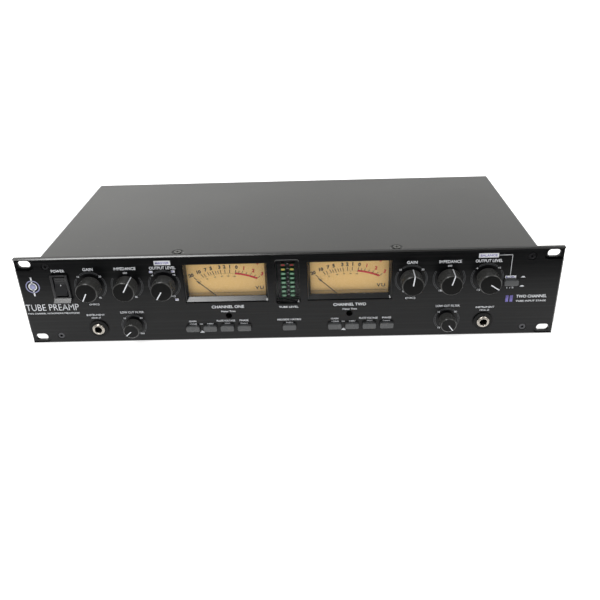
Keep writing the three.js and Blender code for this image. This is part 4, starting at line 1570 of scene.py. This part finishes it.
def dialBand(x, z, r, first, last, spec):
    half = spec["band"] / 2
    meshes = [arcStrip(x, z, r + s * half, spec["line"], first, last) for s in (-1, 1)]
    for end in (first, last):
        a = math.radians(end)
        points = []
        for q, w in ((r - half, -1), (r - half, 1), (r + half, 1), (r + half, -1)):
            points.append(
                (
                    x + q * math.sin(a) + w * 0.12 * math.cos(a),
                    z + q * math.cos(a) - w * 0.12 * math.sin(a),
                )
            )
        meshes.append(flatStrip(points))
    return meshes


def makeKnobPrint(spec):
    bands, words = [], []
    for body, (x, _, z) in knobPlaces.items():
        kind = body.split("_")[0]
        small = kind == "low"
        r = spec["smallArc"] if small else spec["largeArc"]
        for first, last in spec["spans"]:
            if kind == "impedance" and first == -34:
                continue
            bands += dialBand(x, z, r, first, last, spec)
        title, width = knobTitles[kind]
        words.append(
            letterMesh(title, x + 0.2, z + (14.2 if small else 16.8), 2.2 if small else 2.9, width)
        )
        for text, angle in knobFigures[kind]:
            a = math.radians(angle)
            reach = r if abs(angle) > 1 else 12.6
            words.append(letterMesh(text, x + reach * math.sin(a), z + reach * math.cos(a), 1.9))
    printPiece("dialBands", bands, "grey", "chassis")
    printPiece("knobLettering", words, "white", "chassis")


def makeButtonPrint():
    words = []
    for start in (-89.0, 41.5):
        a, b, c, d = start, start + 16.0, start + 31.6, start + 47.4
        labels = (
            ("GAIN", a, 20.9, 1.7, 6.6),
            ("+20dB", a + 0.4, 17.8, 1.6, 6.8),
            ("OR", (a + b) / 2 - 0.2, 17.8, 1.1, 3.2),
            ("+48V", b, 17.8, 1.7, 6.2),
            ("PLATE VOLTAGE", c - 0.8, 20.9, 1.9, 17.0),
            ("High", c + 0.4, 17.8, 1.7, 4.8),
            ("PHASE", d, 20.9, 1.9, 8.2),
            ("Invert", d, 17.8, 1.5, 6.4),
        )
        words += [letterMesh(*label) for label in labels]
        mid = (a + b) / 2
        words.append(
            flatStrip([(mid - 2.2, 8.4), (mid + 2.2, 8.4), (mid + 0.4, 10.6), (mid - 0.4, 10.6)])
        )
    words.append(letterMesh("MID/SIDE MATRIX", 0, 20.9, 1.9, 22.0))
    words.append(letterMesh("Active", 0, 17.7, 1.7, 6.6))
    printPiece("buttonLettering", words, "white", "chassis")


def boxedWords(text, x0, x1, z0, z1):
    plate = flatStrip([(x0, z0), (x1, z0), (x1, z1), (x0, z1)])
    words = letterMesh(text, (x0 + x1) / 2, (z0 + z1) / 2, (z1 - z0) * 0.5, (x1 - x0) * 0.84)
    return plate, words


def makePanelPrint():
    words, plates, dark = [], [], []
    for side, name in ((-1, "CHANNEL ONE"), (1, "CHANNEL TWO")):
        words.append(letterMesh(name, side * 55.2, 35.75, 3.0, 29.5))
        words.append(letterMesh("Meter Trim", side * 55.2, 30.9, 1.8, 13.0))
        words.append(letterMesh("INSTRUMENT", side * 177.2, 29.9, 1.9, 16.6))
        words.append(letterMesh("High-Z", side * 177.0, 26.6, 1.9, 8.6))
        words.append(letterMesh("(MIC)", -176.3 if side < 0 else 109.5, 40.9, 2.3, 9.0))
    words.append(letterMesh("TUBE LEVEL", 0, 34.3, 2.0, 17.6))
    words.append(letterMesh("POWER", -203, 75.8, 2.8, 12.0))
    words.append(letterMesh("TUBE PREAMP", -215.3, 38.8, 6.7, 48.5, 0.0, 0.0, 1.0, -0.006))
    words.append(letterMesh("TWO CHANNEL MICROPHONE PREAMPLIFIER", -215.3, 32.5, 1.6, 48.0))
    words.append(letterMesh("TWO CHANNEL", 217.5, 40.4, 3.0, 27.0))
    words.append(letterMesh("TUBE INPUT STAGE", 217.5, 35.6, 1.7, 27.0))
    for z in (51.0, 60.2):
        words.append(flatStrip([(205.6, z - 0.6), (209.8, z - 0.6), (208.6, z + 0.7), (206.8, z + 0.7)]))
    words.append(letterMesh("1 / 2", 197.4, 49.6, 1.6, 6.0))
    for text, x0, x1, z0, z1 in (
        ("MASTER", -116.7, -102.1, 79.5, 83.8), ("BALANCE", 167.1, 184.3, 79.9, 84.1),
    ):
        plate, letters = boxedWords(text, x0, x1, z0, z1)
        plates.append(plate)
        dark.append(letters)
    for x0, x1, z0, z1 in ((184.3, 196.4, 81.9, 82.3), (196.0, 196.4, 61.4, 81.9)):
        words.append(flatStrip([(x0, z0), (x1, z0), (x1, z1), (x0, z1)]))
    for dx, dz, text in ((-10.4, 13.0, "L"), (9.2, 13.0, "R"), (9.4, -15.6, "R")):
        x, _, z = knobPlaces["output_knob_1"]
        plate, letters = boxedWords(text, x + dx - 1.6, x + dx + 1.6, z + dz - 1.1, z + dz + 1.1)
        plates.append(plate)
        dark.append(letters)
    plate, letters = boxedWords("L/R", 192.0, 201.6, 58.9, 61.6)
    plates.append(plate)
    dark.append(letters)
    printPiece("panelLettering", words, "white", "chassis")
    printPiece("whiteBoxes", plates, "white", "chassis")
    printPiece("boxLettering", dark, "violet", "chassis", 0.09)


def makeEmblems():
    # plain marks of rings and bars that stand in for the maker's own
    x, z = -228.6, 60.5
    ring = [arcStrip(x, z, 5.9, 0.9, 0, 360, 0.0, 48), arcStrip(x, z, 1.3, 2.6, 0, 360, 0.0, 24)]
    printPiece("roundMark", ring, "lilac", "chassis")
    bars = [
        flatStrip(
            [
                (x - 0.7, z + s * 3.0), (x + 0.7, z + s * 3.0), (x + 0.7, z + s * 9.6),
                (x - 0.7, z + s * 9.6),
            ]
        )
        for s in (-1, 1)
    ]
    printPiece(
        "roundMarkBars",
        bars + [arcStrip(x, z, 3.3, 1.0, 0, 360, 0.0, 40)],
        "white",
        "chassis",
    )
    squares = [
        flatStrip([(a, 35.0), (a + 2.6, 35.0), (a + 2.6, 41.6), (a, 41.6)]) for a in (194.6, 198.4)
    ]
    printPiece("barMark", squares, "violet", "chassis")


rearWords = ((30, "INPUT 1"), (72, "OUTPUT 1"), (130, "INPUT 2"), (172, "OUTPUT 2"), (-178, "AC MAINS"))


def makeRearPrint():
    # letters on the rear wall face back, so each word is mirrored about its own middle
    joined = joinedMesh("rearLettering", [letterMesh(text, x, 66.0, 2.6) for x, text in rearWords])
    work = bmesh.new()
    work.from_mesh(joined)
    for v in work.verts:
        v.co.y = rearY + printing["lift"] * mm
        nearest = min((x * mm for x, _ in rearWords), key=lambda c: abs(c - v.co.x))
        v.co.x = 2 * nearest - v.co.x
    top = bmesh.ops.extrude_face_region(work, geom=work.faces[:])
    moved = [v for v in top["geom"] if isinstance(v, bmesh.types.BMVert)]
    bmesh.ops.translate(work, vec=(0, printing["thick"] * mm, 0), verts=moved)
    bmesh.ops.recalc_face_normals(work, faces=work.faces)
    work.to_mesh(joined)
    work.free()
    addPiece("rearLettering", joined, "white", "chassis")


makeKnobPrint(dialSpec)
makeButtonPrint()
makePanelPrint()
makeEmblems()
makeRearPrint()
print("print done")
